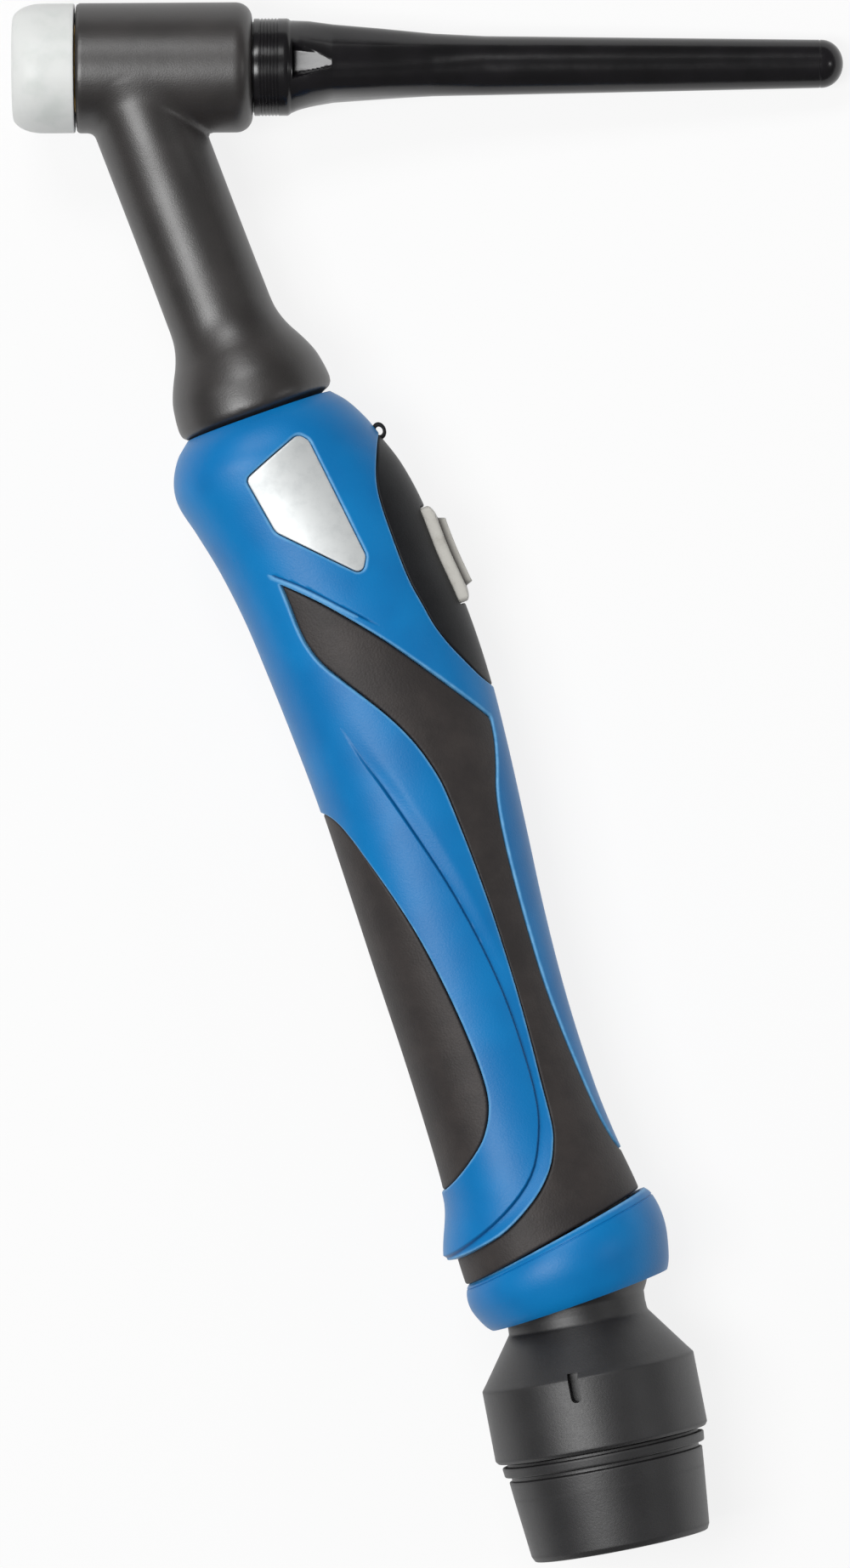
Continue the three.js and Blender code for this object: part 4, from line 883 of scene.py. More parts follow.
# %% Surface net
def cell_corners(values):
    offsets = [(i, j, k) for i in (0, 1) for j in (0, 1) for k in (0, 1)]
    sizes = [n - 1 for n in values.shape]
    return offsets, [values[i:i + sizes[0], j:j + sizes[1], k:k + sizes[2]] for i, j, k in offsets]


def surface_net(field, low, high, step):
    """Points and faces wrapped round the place where the field goes below 0, within a box."""
    axes = [np.arange(a, b + step, step) for a, b in zip(low, high)]
    grid = np.stack(np.meshgrid(*axes, indexing="ij"), axis=-1)
    values = field(grid.reshape(-1, 3)).reshape(grid.shape[:3])
    offsets, corners = cell_corners(values)
    inside = sum((corner < 0).astype(int) for corner in corners)
    active = (inside > 0) & (inside < 8)
    number = np.full(active.shape, -1)
    number[active] = np.arange(active.sum())
    at_corner = np.stack([corner[active] for corner in corners], axis=1)
    total, count = np.zeros((len(at_corner), 3)), np.zeros(len(at_corner))
    for a in range(8):
        for b in range(a + 1, 8):
            if sum(abs(p - q) for p, q in zip(offsets[a], offsets[b])) != 1:
                continue
            crossed = (at_corner[:, a] < 0) != (at_corner[:, b] < 0)
            share = at_corner[crossed, a] / (at_corner[crossed, a] - at_corner[crossed, b])
            start, end = np.array(offsets[a], float), np.array(offsets[b], float)
            total[crossed] += start + share[:, None] * (end - start)
            count[crossed] += 1
    cells = np.argwhere(active)
    points = np.array([axis[0] for axis in axes]) + step * (cells + total / count[:, None])
    return points, net_faces(values, number)


def net_faces(values, number):
    """One face round every edge of the grid that the surface crosses."""
    faces = []
    for axis in range(3):
        first = np.take(values, range(values.shape[axis] - 1), axis=axis) < 0
        second = np.take(values, range(1, values.shape[axis]), axis=axis) < 0
        side, other = [a for a in range(3) if a != axis]
        for place in np.argwhere(first != second):
            if place[side] == 0 or place[other] == 0:
                continue
            around = []
            for back_side, back_other in ((1, 1), (0, 1), (0, 0), (1, 0)):
                cell = place.copy()
                cell[side] -= back_side
                cell[other] -= back_other
                around.append(number[tuple(cell)])
            entering = first[tuple(place)] == (axis != 1)
            faces.append(tuple(around) if entering else tuple(reversed(around)))
    return faces


def gradient(field, points, step=0.02):
    slopes = []
    for axis in range(3):
        shift = np.zeros(3)
        shift[axis] = step
        slopes.append((field(points + shift) - field(points - shift)) / (2 * step))
    return np.stack(slopes, axis=1)


def pulled_on(field, points, rounds=4, least_slope=0.2):
    for _ in range(rounds):
        slope = gradient(field, points)
        steepness = np.maximum((slope ** 2).sum(axis=1), least_slope)
        points = points - (field(points) / steepness)[:, None] * slope
    return points


# %% [markdown]
# ## Head and neck
# The neck is nearly straight for 48 mm and then flares like a trumpet to a soft lip that rolls over the
# handle's mouth. Its radius comes from a table read down the neck. Both bores are left open, since the
# brass body sits in them and can be seen from the front.

# %% Piece: head insulation
BARREL_RADIUS = 11.85
BARREL_FRONT = 10.4
BARREL_REAR = 21.7
NECK_TABLE = np.array([
    (0, 9.7), (46, 9.7), (48, 9.72), (50, 9.9), (52, 10.4), (54, 11.2), (56, 12.25), (58, 13.2), (60, 13.95),
    (62, 14.35), (64, 14.6), (65.5, 14.6), (66.4, 14.3), (67.0, 13.6), (67.3, 12.8), (70, 12.7), (76, 12.7),
])
NECK_START = 3.0
NECK_END = 75.1
BODY_ROOM = 8.3  # radius of the room for the brass body
CHANNEL_RADIUS = 6.2
STUB_END = 19.3  # the body's stub ends here, and the channel for the tubes starts
FILLET = 1.1
NECK_ROOT = (0.11, 8.0, 26.0)  # the neck is deeper than wide by this share at first; where that fades out
FLARE_EASE = 0.85  # keeps the distance honest where the flare is steep
HEAD_BOX = ((-12.5, -80.5, -15.9), (42.0, 13.2, 15.9))
HEAD_STEP = 0.62
HEAD_TO_NECK = np.linalg.inv(NECK) @ HEAD


def ease(value, start, end):
    share = np.clip((value - start) / (end - start), 0, 1)
    return share * share * (3 - 2 * share)


def smooth_curve(table, where):
    """Cubic through the table's points with gentle slopes."""
    x, y = table[:, 0], table[:, 1]
    slope = np.gradient(y, x)
    i = np.clip(np.searchsorted(x, where) - 1, 0, len(x) - 2)
    span = x[i + 1] - x[i]
    t = np.clip((where - x[i]) / span, 0, 1)
    rest = 1 - t
    ends = y[i] * (1 + 2 * t) * rest ** 2 + y[i + 1] * t * t * (3 - 2 * t)
    return ends + span * (t * rest ** 2 * slope[i] - t * t * rest * slope[i + 1])


def melt(a, b, size):
    """The smaller of two distances, with a fillet of about this size where they meet."""
    share = np.clip(0.5 + 0.5 * (b - a) / size, 0, 1)
    return b + (a - b) * share - size * share * (1 - share)


def barrel_distance(points):
    along, radius = points[:, 0], np.hypot(points[:, 1], points[:, 2])
    middle, half = (BARREL_REAR - BARREL_FRONT) / 2, (BARREL_REAR + BARREL_FRONT) / 2
    corner = np.where(along > middle, 3.0, 0.7)
    end = np.abs(along - middle) - half + corner
    side = radius - BARREL_RADIUS + corner
    outside = np.hypot(np.maximum(end, 0), np.maximum(side, 0))
    return np.minimum(np.maximum(end, side), 0) + outside - corner


def neck_distance(points):
    """Distances to the neck's outside and to its channel, and how far down the neck each point is."""
    points = points @ HEAD_TO_NECK[:3, :3].T + HEAD_TO_NECK[:3, 3]
    down = -points[:, 1]
    depth = 1.0 + NECK_ROOT[0] * (1 - ease(down, *NECK_ROOT[1:]))
    radius = np.hypot(points[:, 0], points[:, 2] / depth)
    wall = (radius - smooth_curve(NECK_TABLE, np.clip(down, 0, NECK_TABLE[-1, 0]))) * FLARE_EASE
    return np.maximum(wall, down - NECK_END), np.minimum(CHANNEL_RADIUS - radius, down - STUB_END), down


def head_distance(points):
    neck, channel, down = neck_distance(points)
    neck = np.maximum(neck, NECK_START - down)
    solid = melt(barrel_distance(points), neck, FILLET)
    bore = BODY_ROOM - np.hypot(points[:, 1], points[:, 2])
    return np.maximum(np.maximum(solid, bore), channel)


def make_head():
    points, faces = surface_net(head_distance, *HEAD_BOX, HEAD_STEP)
    points = pulled_on(head_distance, points)
    return piece("head_and_neck", points, faces, HEAD, "torch", rubber, slot="silicone",
                 replaces=["head_insulation"], sharp=50)


make_head()

# %% [markdown]
# ## The handle's skin
# The handle is drawn by sections: how far it reaches to the front, to the back and to the side at each
# place down its length. One smooth function gives a point of the skin for a place (down, turn). All the
# inlays are pieces of this same skin, which is how the real ones are made flush: one mould, filled twice.

# %% Sections of the handle
HANDLE_TOP = 67.5
HANDLE_FOOT = 232.0
STATIONS = np.array([  # down, front, back, side
    (67.5, 13.4, 14.2, 13.8), (70, 16.2, 16.4, 15.9), (74, 18.4, 18.6, 17.4), (78, 18.9, 20.1, 17.4),
    (84, 17.5, 22.1, 17.0), (92, 15.8, 23.4, 16.7), (102, 14.5, 23.8, 16.5), (112, 13.9, 24.6, 16.5),
    (124, 13.4, 24.5, 16.4), (138, 13.1, 23.4, 16.2), (154, 13.4, 21.5, 15.9), (170, 13.8, 19.5, 15.6),
    (186, 14.1, 18.1, 15.5), (202, 14.7, 17.6, 15.8), (212, 15.4, 18.0, 16.4), (222, 16.9, 19.0, 17.4),
    (232, 17.3, 19.4, 17.8),
])
SQUARENESS = 2.1
EGG = 0.07
TAIL_FLARE = (213.5, 225.5, 2.3)  # start, end and height of the shell's flared tail at the front


def station_value(down, column):
    """A column of the stations as a smooth curve down the handle."""
    x, y = STATIONS[:, 0], STATIONS[:, column]
    down = np.clip(down, x[0], x[-1])
    i = np.clip(np.searchsorted(x, down) - 1, 0, len(x) - 2)
    before, after = np.maximum(i - 1, 0), np.minimum(i + 2, len(x) - 1)
    span = x[i + 1] - x[i]
    t = (down - x[i]) / span
    low_slope = (y[i + 1] - y[before]) / (x[i + 1] - x[before])
    high_slope = (y[after] - y[i]) / (x[after] - x[i])
    bend = t * (1 - t) ** 2 * low_slope - t * t * (1 - t) * high_slope
    return y[i] + (y[i + 1] - y[i]) * t * t * (3 - 2 * t) + span * bend


def skin_point(spots, flared):
    """Points of the skin for (down, turn); `flared` is 1 for the shell, whose tail flares, else 0."""
    down, turn = spots[:, 0], spots[:, 1]
    front = station_value(down, 1) + flared * TAIL_FLARE[2] * ease(down, TAIL_FLARE[0], TAIL_FLARE[1])
    back, side = station_value(down, 2), station_value(down, 3)
    size = (np.abs(np.cos(turn)) ** SQUARENESS + np.abs(np.sin(turn)) ** SQUARENESS) ** (1 / SQUARENESS)
    across, up = np.cos(turn) / size, np.sin(turn) / size
    x = (back - front) / 2 + (back + front) / 2 * across
    return np.stack([x, -down, side * up * (1 - EGG * across)], axis=1)


def skin_normal(spots, flared):
    def along(column, step):
        low, high = spots.copy(), spots.copy()
        low[:, column] -= step
        high[:, column] += step
        return skin_point(high, flared) - skin_point(low, flared)
    normal = np.cross(along(0, 0.05), along(1, 0.002))
    normal /= np.linalg.norm(normal, axis=1)[:, None]
    outward = np.stack([np.cos(spots[:, 1]), 0 * spots[:, 1], np.sin(spots[:, 1])], axis=1)
    return normal * np.sign((normal * outward).sum(axis=1))[:, None]


# %% [markdown]
# ## Lines on the skin
# The inlays' borders are drawn in the side view, as smooth curves through a few measured places. For every
# point of the skin a signed distance to such a border is worked out, stretched by how much the skin leans
# away there, so that a gap of a tenth of a millimetre stays one where the handle curves out of sight.

# %% Borders as signed distances
LEAST_LEAN_SHARE = 0.15  # the stretch stops growing where the skin leans away more than this


def flowing(points, per_span=4):
    """A smooth curve through (across, down) points."""
    p = np.array(points, float)
    ends = np.vstack([2 * p[0] - p[1], p, 2 * p[-1] - p[-2]])
    curve = []
    for a, b, c, d in zip(ends, ends[1:], ends[2:], ends[3:]):
        for t in np.linspace(0, 1, per_span, endpoint=False):
            curve.append(0.5 * (2 * b + (c - a) * t + (2 * a - 5 * b + 4 * c - d) * t ** 2
                                + (3 * b - a - 3 * c + d) * t ** 3))
    return np.vstack([curve, p[-1:]])


def nearest_on(line, flat, closed):
    """Distance to a line of points, the way to it and the side of it that each place is on."""
    start = line
    end = np.roll(line, -1, axis=0)
    if not closed:
        start, end = line[:-1], line[1:]
    run = end - start
    share = ((flat[:, None] - start) * run).sum(-1) / np.maximum((run ** 2).sum(-1), 1e-12)
    gap = flat[:, None] - (start + np.clip(share, 0, 1)[..., None] * run)
    lengths = np.hypot(gap[..., 0], gap[..., 1])
    best = lengths.argmin(axis=1)
    rows = np.arange(len(flat))
    side = np.sign(run[best, 0] * gap[rows, best, 1] - run[best, 1] * gap[rows, best, 0])
    return lengths[rows, best], gap[rows, best], side


def is_inside(line, flat):
    start, end = line, np.roll(line, -1, axis=0)
    above = (start[:, 1] > flat[:, None, 1]) != (end[:, 1] > flat[:, None, 1])
    rise = np.where(end[:, 1] == start[:, 1], 1.0, end[:, 1] - start[:, 1])
    cross = start[:, 0] + (flat[:, None, 1] - start[:, 1]) / rise * (end[:, 0] - start[:, 0])
    return (above & (flat[:, None, 0] < cross)).sum(axis=1) % 2 == 1


def on_skin(distance, gap, normal):
    """Turns a distance in the side view into one along the skin."""
    direction = gap / np.maximum(distance, 1e-9)[:, None]
    lean = direction[:, 0] * normal[:, 0] - direction[:, 1] * normal[:, 1]
    return distance / np.sqrt(np.maximum(1 - lean ** 2, LEAST_LEAN_SHARE ** 2))


def side_view(points):
    return np.stack([points[:, 0], -points[:, 1]], axis=1)


def region(line):
    """A field that is positive inside a closed line."""
    def field(points, normals):
        flat = side_view(points)
        distance, gap, _ = nearest_on(line, flat, True)
        return on_skin(distance, gap, normals) * np.where(is_inside(line, flat), 1, -1)
    return field


# %% [markdown]
# ## The five borders
# From the top: the badge, a kite with soft corners; the switch module at the trigger side; the dark swoosh
# that starts in a sharp tip under the badge, widens, and runs down to the foot; and the front inlay, a long
# drop. Where a border leaves the outline of the handle it is carried on well outside, so that it wraps
# round the edge.

# %% Borders of the inlays
FAR = 34.0  # well outside the handle
MODULE_LINE = [
    (21.3, 76.2), (20.0, 78), (18.2, 82), (16.8, 86), (16.2, 90), (16.1, 96), (16.2, 102), (16.5, 106),
    (17.2, 110), (17.9, 114), (19.2, 118), (21.0, 122), (23.0, 126), (25.5, 129.5),
]
SWOOSH_LOWER = [
    (-6.2, 98.1), (-6.0, 102), (-5.9, 106), (-5.4, 110), (-4.0, 114), (-1.5, 118), (1.2, 122), (3.8, 126),
    (6.0, 130), (7.7, 134), (8.9, 138), (9.7, 142), (10.1, 148), (10.4, 156), (10.5, 166), (10.3, 174),
    (10.0, 182), (9.5, 190), (8.8, 198), (8.0, 206), (6.9, 210), (4.6, 214.2), (0.3, 218.2), (-6.6, 221.9),
    (-13.0, 223.3), (-18.7, 223.9),
]
SWOOSH_UPPER = [(-6.2, 98.1), (-2.2, 101.9), (1.7, 106), (8.5, 114), (14.4, 122), (20.0, 130), (22.1, 133.2)]
SWOOSH_STRIP = [
    (22.1, 133.6), (21.5, 137.5), (20.2, 142), (18.8, 146), (17.7, 151), (16.8, 158), (16.1, 166),
    (15.6, 174), (15.3, 182), (15.4, 190), (15.8, 198), (16.4, 206), (17.1, 211), (18.2, 215), (20.5, 217.5),
]
FRONT_INLAY = [
    (-16.5, 137.6), (-12.9, 139.8), (-11.0, 142.2), (-9.5, 146), (-8.3, 150), (-6.0, 158), (-4.1, 166),
    (-2.8, 174), (-1.9, 182), (-1.4, 190), (-1.5, 196), (-2.3, 200), (-4.2, 203.6), (-6.8, 206.4),
    (-12.3, 210.2), (-18.0, 212.8),
]
BADGE_CORNERS = [
    (6.14, 73.21, 1.9), (-5.77, 78.03, 1.3), (-3.86, 88.9, 2.5), (8.65, 101.39, 2.0), (10.43, 98.24, 1.7),
    (7.62, 75.05, 1.5),
]
swoosh_lower = flowing(SWOOSH_LOWER)
swoosh_line = np.vstack([
    flowing(SWOOSH_UPPER), flowing(SWOOSH_STRIP), [(FAR, 222), (FAR, 250), (-FAR, 250), (-FAR, 225)],
    swoosh_lower[:0:-1],
])
module_line = np.vstack([[(FAR, 70), (22.5, 70)], flowing(MODULE_LINE), [(FAR, 140)]])
front_line = np.vstack([flowing(FRONT_INLAY), [(-FAR, 214), (-FAR, 136)]])
badge_line = rounded(BADGE_CORNERS, steps=6)[0]
in_swoosh, in_module, in_front, in_badge = map(region, (swoosh_line, module_line, front_line, badge_line))
print("border points:", [len(line) for line in (swoosh_line, module_line, front_line, badge_line)])

# %% [markdown]
# ## Cutting the skin along a border
# A border that merely crossed the faces would show as a jagged edge. So the triangles are split exactly
# along it: wherever an edge of the mesh crosses the border, a point is put there, and each triangle is
# divided through these points. Doing it again at a few small distances from the border gives the rings for
# a rounded edge.

# %% Splitting triangles along a level of a field
def split_along(spots, triangles, field, level, value):
    """Splits at one level; `value` is the field at the spots, and comes back with the new points' values."""
    side_of = np.where(np.abs(value - level) < 1e-5, 0.0, value - level)
    sides = np.sort(np.vstack([triangles[:, [0, 1]], triangles[:, [1, 2]], triangles[:, [2, 0]]]), axis=1)
    sides = sides[side_of[sides[:, 0]] * side_of[sides[:, 1]] < 0]
    if not len(sides):
        return spots, triangles, value
    crossed = np.unique(sides, axis=0)
    low, high = np.zeros(len(crossed)), np.ones(len(crossed))
    a, b = spots[crossed[:, 0]], spots[crossed[:, 1]]
    sign = np.sign(side_of[crossed[:, 0]])
    for _ in range(10):
        middle = (low + high) / 2
        same = np.sign(field(a + (b - a) * middle[:, None]) - level) == sign
        low, high = np.where(same, middle, low), np.where(same, high, middle)
    added = a + (b - a) * ((low + high) / 2)[:, None]
    number = {(int(p), int(q)): len(spots) + k for k, (p, q) in enumerate(crossed)}
    signs = np.sign(side_of)[triangles]
    mixed = (signs.min(axis=1) < 0) & (signs.max(axis=1) > 0)
    made = [divided(tuple(int(v) for v in triangle), side_of, number) for triangle in triangles[mixed]]
    new = [t for group in made for t in group]
    value = np.concatenate([value, np.full(len(added), float(level))])
    return np.vstack([spots, added]), np.vstack([triangles[~mixed], np.array(new)]), value


def divided(triangle, value, number):
    ring = []
    for a, b in zip(triangle, triangle[1:] + triangle[:1]):
        ring.append(a)
        key = (min(a, b), max(a, b))
        if key in number:
            ring.append(number[key])
    cuts = [i for i, v in enumerate(ring) if v >= len(value) or value[v] == 0]
    first, second = cuts[0], cuts[1]
    one = ring[first:second + 1]
    other = ring[second:] + ring[:first + 1]
    return [(part[0], part[i], part[i + 1]) for part in (one, other) for i in range(1, len(part) - 1)]


def rows_and_turns(top, foot, step, count):
    """A plain net of triangles over (down, turn)."""
    downs = np.linspace(top, foot, max(2, round((foot - top) / step)) + 1)
    turns = np.linspace(0, math.pi, count + 1)
    return plain_net(downs, turns)


def plain_net(first, second):
    spots = np.stack(np.meshgrid(first, second, indexing="ij"), axis=-1).reshape(-1, 2)
    width = len(second)
    corner = (np.arange(len(first) - 1)[:, None] * width + np.arange(width - 1)).ravel()
    one = np.stack([corner, corner + 1, corner + width], axis=1)
    two = np.stack([corner + 1, corner + width + 1, corner + width], axis=1)
    return spots, np.vstack([one, two])


def used_only(spots, triangles, *more):
    kept, renumbered = np.unique(triangles, return_inverse=True)
    return [spots[kept], renumbered.reshape(triangles.shape)] + [values[kept] for values in more]


def split_levels(spots, triangles, field, levels):
    """Splits at each level in turn; what lies below a first level of 0 is dropped."""
    value = field(spots)
    for level in levels:
        spots, triangles, value = split_along(spots, triangles, field, level, value)
        if level == 0.0 and levels[0] == 0.0:
            spots, triangles, value = used_only(spots, triangles[value[triangles].mean(axis=1) > 1e-4], value)
    return spots, triangles


# %% [markdown]
# ## From skin to solid
# A cut piece of skin gets a rounded edge, an inner surface a wall's thickness below, and a wall between the
# two all the way round. Rounding works by sinking each point along its normal by the profile of a quarter
# circle, which depends only on the distance to the edge.

# %% Rounded edges and closed solids
def quarter_drop(distance, radius):
    reach = np.clip(radius - distance, 0, radius)
    return radius - np.sqrt(radius ** 2 - reach ** 2)


def edge_levels(radius):
    return [0.0] + [radius * share for share in (0.06, 0.22, 0.5, 1.0)] + [radius + 0.25]


def rim_edges(triangles):
    sides = np.vstack([triangles[:, [0, 1]], triangles[:, [1, 2]], triangles[:, [2, 0]]])
    _, first, counts = np.unique(np.sort(sides, axis=1), axis=0, return_index=True, return_counts=True)
    return sides[first[counts == 1]]


def closed_solid(outer, inner, triangles):
    """Outer and inner surface over the same triangles, joined by a wall."""
    count = len(outer)
    faces = [tuple(t) for t in triangles.tolist()]
    faces += [(c + count, b + count, a + count) for a, b, c in triangles.tolist()]
    faces += [(b, a, a + count, b + count) for a, b in rim_edges(triangles).tolist()]
    return np.vstack([outer, inner]), faces


def cut_skin(field, top, foot, step, count, radius, extra=()):
    """The part of the skin where the field is positive, split for its rounded edge and for extra lines."""
    spots, triangles = rows_and_turns(top, foot, step, count)
    near = field(spots)[triangles].max(axis=1) > -1.5 * step
    spots, triangles = used_only(spots, triangles[near])
    spots, triangles = split_levels(spots, triangles, field, edge_levels(radius))
    for line_field, levels in extra:
        spots, triangles = split_levels(spots, triangles, line_field, levels)
    return spots, triangles


# %% [markdown]
# ## Shell, grips, badge and module
# Each piece is the skin where its own border is positive, minus a tenth of a millimetre all round, so that
# a fine dark line runs between blue and black as on the real handle. The blue shell also has the crease
# that follows the swoosh, a step of about half a millimetre with a narrow channel at its foot, and a short
# engraved line between the badge and the swoosh.

# %% Fields of the pieces
GAP = 0.1
SEAM = 0.08
GRIP_EDGE = 0.45
GRIP_RECESS = 0.35
COLLAR_TOP = 226.2
COLLAR_LEAN = math.radians(9.5)
COLLAR_SLANT = math.tan(COLLAR_LEAN)
COLLAR_CLEARANCE = 0.15
CREASE = [
    (-4.4, 126.5), (-2.87, 133), (-1.15, 138.4), (1.51, 148), (4.27, 159), (6.2, 170), (7.3, 181.2),
    (7.3, 191), (6.6, 200.9), (4.7, 207.6), (0.9, 214), (-6.2, 218.9), (-16.3, 222.6), (-24, 223.6),
]
CREASE_START = (124, 142)  # the crease grows to its full depth between these places down the handle
CREASE_PLACE = 0.1  # its channel is this far beside the line
ENGRAVED = [(-7.0, 96.0), (-2.1, 100.2), (5.1, 107.7), (9.0, 111.8)]
ENGRAVED_END = (108.0, 111.6)  # and the engraved line runs out between these
ENGRAVED_HALF = 0.3
# a pale highlight line is painted this far beside the engraved line
HIGHLIGHT_LINE_PLACE = 0.42
WELLS = [(138.0, 14.6), (204.0, 11.2)]  # down the handle, towards the trigger
WELL_RADIUS = 2.8
crease_line = flowing(CREASE)
engraved_line = flowing(ENGRAVED)


def beside_wells(points, normals):
    """Positive outside the two wells that the screws are driven through, from the far side."""
    gaps = [np.hypot(points[:, 0] - back, -points[:, 1] - down) for down, back in WELLS]
    return np.min(gaps, axis=0) - WELL_RADIUS


def spot_field(flared, *parts):
    """The least of several fields, as a function of (down, turn)."""
    def field(spots):
        points, normals = skin_point(spots, flared), skin_normal(spots, flared)
        return np.min([part(points, normals) for part in parts], axis=0)
    return field


def grown_by(part, amount):
    return lambda points, normals: part(points, normals) + amount


def outside(part):
    return lambda points, normals: -part(points, normals) - GAP


def above_seam(points, normals):
    return points[:, 2] - SEAM


def above_collar(points, normals):
    top = COLLAR_TOP - (points[:, 0] - BALL_BACK) * COLLAR_SLANT
    return (top + points[:, 1] - COLLAR_CLEARANCE) * math.cos(COLLAR_LEAN)


def crease_side(spots):
    """Distance from the crease, positive towards the swoosh."""
    distance, _, side = nearest_on(crease_line, side_view(skin_point(spots, 1)), False)
    return distance * -side


def engraved_side(spots):
    distance, _, side = nearest_on(engraved_line, side_view(skin_point(spots, 1)), False)
    return distance * side


def crease_strength(spots):
    return ease(spots[:, 0], *CREASE_START)


def engraved_strength(spots):
    return 1 - ease(spots[:, 0], *ENGRAVED_END)


def hump(away, half):
    """1 on a line and 0 from `half` millimetres beside it."""
    return np.clip(1 - np.abs(away) / half, 0, 1)


def shell_lips(spots):
    """Distance to a line beside the engraved line, where the blue finish paints a pale highlight as on an
    edge.
    """
    return np.abs(engraved_side(spots) - HIGHLIGHT_LINE_PLACE) + FAR_FROM_EDGE * (1 - engraved_strength(spots))


def shell_grooves(spots):
    """1 at the bottom of the crease or the engraved line, 0 beside them; the blue finish paints shade by it.
    """
    crease = hump(crease_side(spots) - CREASE_PLACE, 0.4) * crease_strength(spots)
    return np.maximum(crease, hump(engraved_side(spots), ENGRAVED_HALF) * engraved_strength(spots))


def shell_relief(spots):
    """How far the shell lies below its plain skin."""
    away = crease_side(spots)
    step = ease(away, 0.0, 0.4) * (0.6 - 0.5 * ease(away, 0.5, 3.2))
    channel = 0.35 * hump(away - CREASE_PLACE, 0.3)
    engraved = ENGRAVED_HALF * hump(engraved_side(spots), ENGRAVED_HALF) * engraved_strength(spots)
    return crease_strength(spots) * (step + channel) + engraved


# %% Pieces of the skin
def skin_solid(field, top=HANDLE_TOP, foot=HANDLE_FOOT, step=1.0, count=80, radius=0.35, recess=0.0,
               thickness=1.2, flared=0, extra=(), relief=None, lips=None, grooves=None):
    """One side's solid for a field, with the rim and groove values of its points."""
    spots, triangles = cut_skin(field, top, foot, step, count, radius, extra)
    points, normals = skin_point(spots, flared), skin_normal(spots, flared)
    distance = field(spots)
    depth = recess + quarter_drop(distance, radius) + (relief(spots) if relief else 0.0)
    outer = points - normals * depth[:, None]
    inner = points - normals * (recess + thickness)
    solid, faces = closed_solid(outer, inner, triangles)
    # distance from the edge and from the painted highlight line, by which the finishes paint pale highlight
    # and wear on the blue and darker edges on the grips
    rim = np.maximum(distance, 0)
    rim = np.tile(np.minimum(rim, lips(spots)) if lips else rim, 2)
    return solid, faces, rim, np.tile(grooves(spots), 2) if grooves else None


def skin_pair(name, field, finish, slot, node=None, left_field=None, **sizes):
    """The same piece on the seen side and, mirrored, on the far side, perhaps with another border there."""
    right = skin_solid(field, **sizes)
    left = skin_solid(left_field, **sizes) if left_field else right
    for side, mirror, (solid, faces, rim, groove) in (("right", 1, right), ("left", -1, left)):
        piece(f"{name}_{side}", solid * (1, 1, mirror), faces, HANDLE, "torch", finish, slot,
              replaces=[f"{node}_{side}"] if node else (), rim=rim, groove=groove, sharp=60)


shell_parts = [outside(part) for part in (in_swoosh, in_module, in_front, in_badge)]
shell_parts += [above_seam, above_collar]
shell_field = spot_field(1, *shell_parts)
shell_lines = [(crease_side, (-0.3, -0.2, 0.0, 0.1, 0.2, 0.3, 0.4, 0.7)),
               (engraved_side, (-0.3, -0.12, 0.0, 0.12, 0.3, 0.5, 0.9))]
grip_parts = [grown_by(in_swoosh, -GAP), above_seam, above_collar]
grip_field, left_grip_field = spot_field(0, *grip_parts), spot_field(0, *grip_parts, beside_wells)
front_field = spot_field(0, grown_by(in_front, -GAP), above_seam)
badge_field = spot_field(0, grown_by(in_badge, -GAP))

skin_pair("blue_shell", shell_field, blue, "blue_plastic", "handle_shell", thickness=2.2, flared=1,
          extra=shell_lines, relief=shell_relief, lips=shell_lips, grooves=shell_grooves)
skin_pair("swoosh_grip", grip_field, grip, "soft_grip", "upper_grip", left_grip_field, top=97,
          radius=GRIP_EDGE, recess=GRIP_RECESS)
skin_pair("front_grip", front_field, grip, "soft_grip", "lower_grip", top=136, foot=216,
          radius=GRIP_EDGE, recess=GRIP_RECESS)
skin_pair("badge_plate", badge_field, silver, "badge", "badge", top=72, foot=103, step=0.6, count=130,
          radius=0.2, recess=0.12, thickness=0.9)

# %% [markdown]
# ## Lining and screw wells
# On the real handle the grips are moulded into troughs of the shell, so the fine gap beside a grip has
# plastic at its bottom. Without it one would look right through the handle, because the gaps of both sides
# line up. A thin skin further in stands for those troughs. On the far side two wells lead through it down
# to the screws, each a short tube whose rim follows the skin.

# %% Pieces: lining and screw wells
WELL_WALL = 3.5
WELL_FLOOR = 8.9  # off the parting plane, where the screw's head sits
WELL_OUTLINE = (  # radius and depth below the skin, or None for the floor
    (WELL_WALL, 1.1), (WELL_RADIUS + 0.25, 1.1), (WELL_RADIUS, 1.3), (WELL_RADIUS, None), (WELL_WALL, None),
)
lining_parts = [outside(in_module), above_seam, above_collar]
lining_field, left_lining_field = spot_field(0, *lining_parts), spot_field(0, *lining_parts, beside_wells)
skin_pair("handle_lining", lining_field, nylon, "black_plastic", left_field=left_lining_field, step=2.0,
          count=48, recess=2.3, thickness=0.5)


def skin_height(x, down):
    """How far the skin stands off the parting plane at a place of the side view."""
    front, back, side = (station_value(down, column) for column in (1, 2, 3))
    across = (x - (back - front) / 2) / ((back + front) / 2)
    return side * (1 - np.abs(across) ** SQUARENESS) ** (1 / SQUARENESS) * (1 - EGG * across)


def make_well(name, down, back, steps=40):
    turns = np.linspace(0, 2 * math.pi, steps, endpoint=False)
    rings, points = [], []
    for radius, below_skin in WELL_OUTLINE:
        x, y = back + radius * np.cos(turns), down + radius * np.sin(turns)
        height = np.full(steps, WELL_FLOOR) if below_skin is None else skin_height(x, y) - below_skin
        rings.append(list(range(len(points), len(points) + steps)))
        points += list(zip(x, -y, -height))
    return piece(name, points, ring_faces(rings, True), HANDLE, "torch", grip, slot="soft_grip")


for number, (well_down, well_back) in enumerate(WELLS, start=1):
    make_well(f"screw_well_{number}", well_down, well_back)

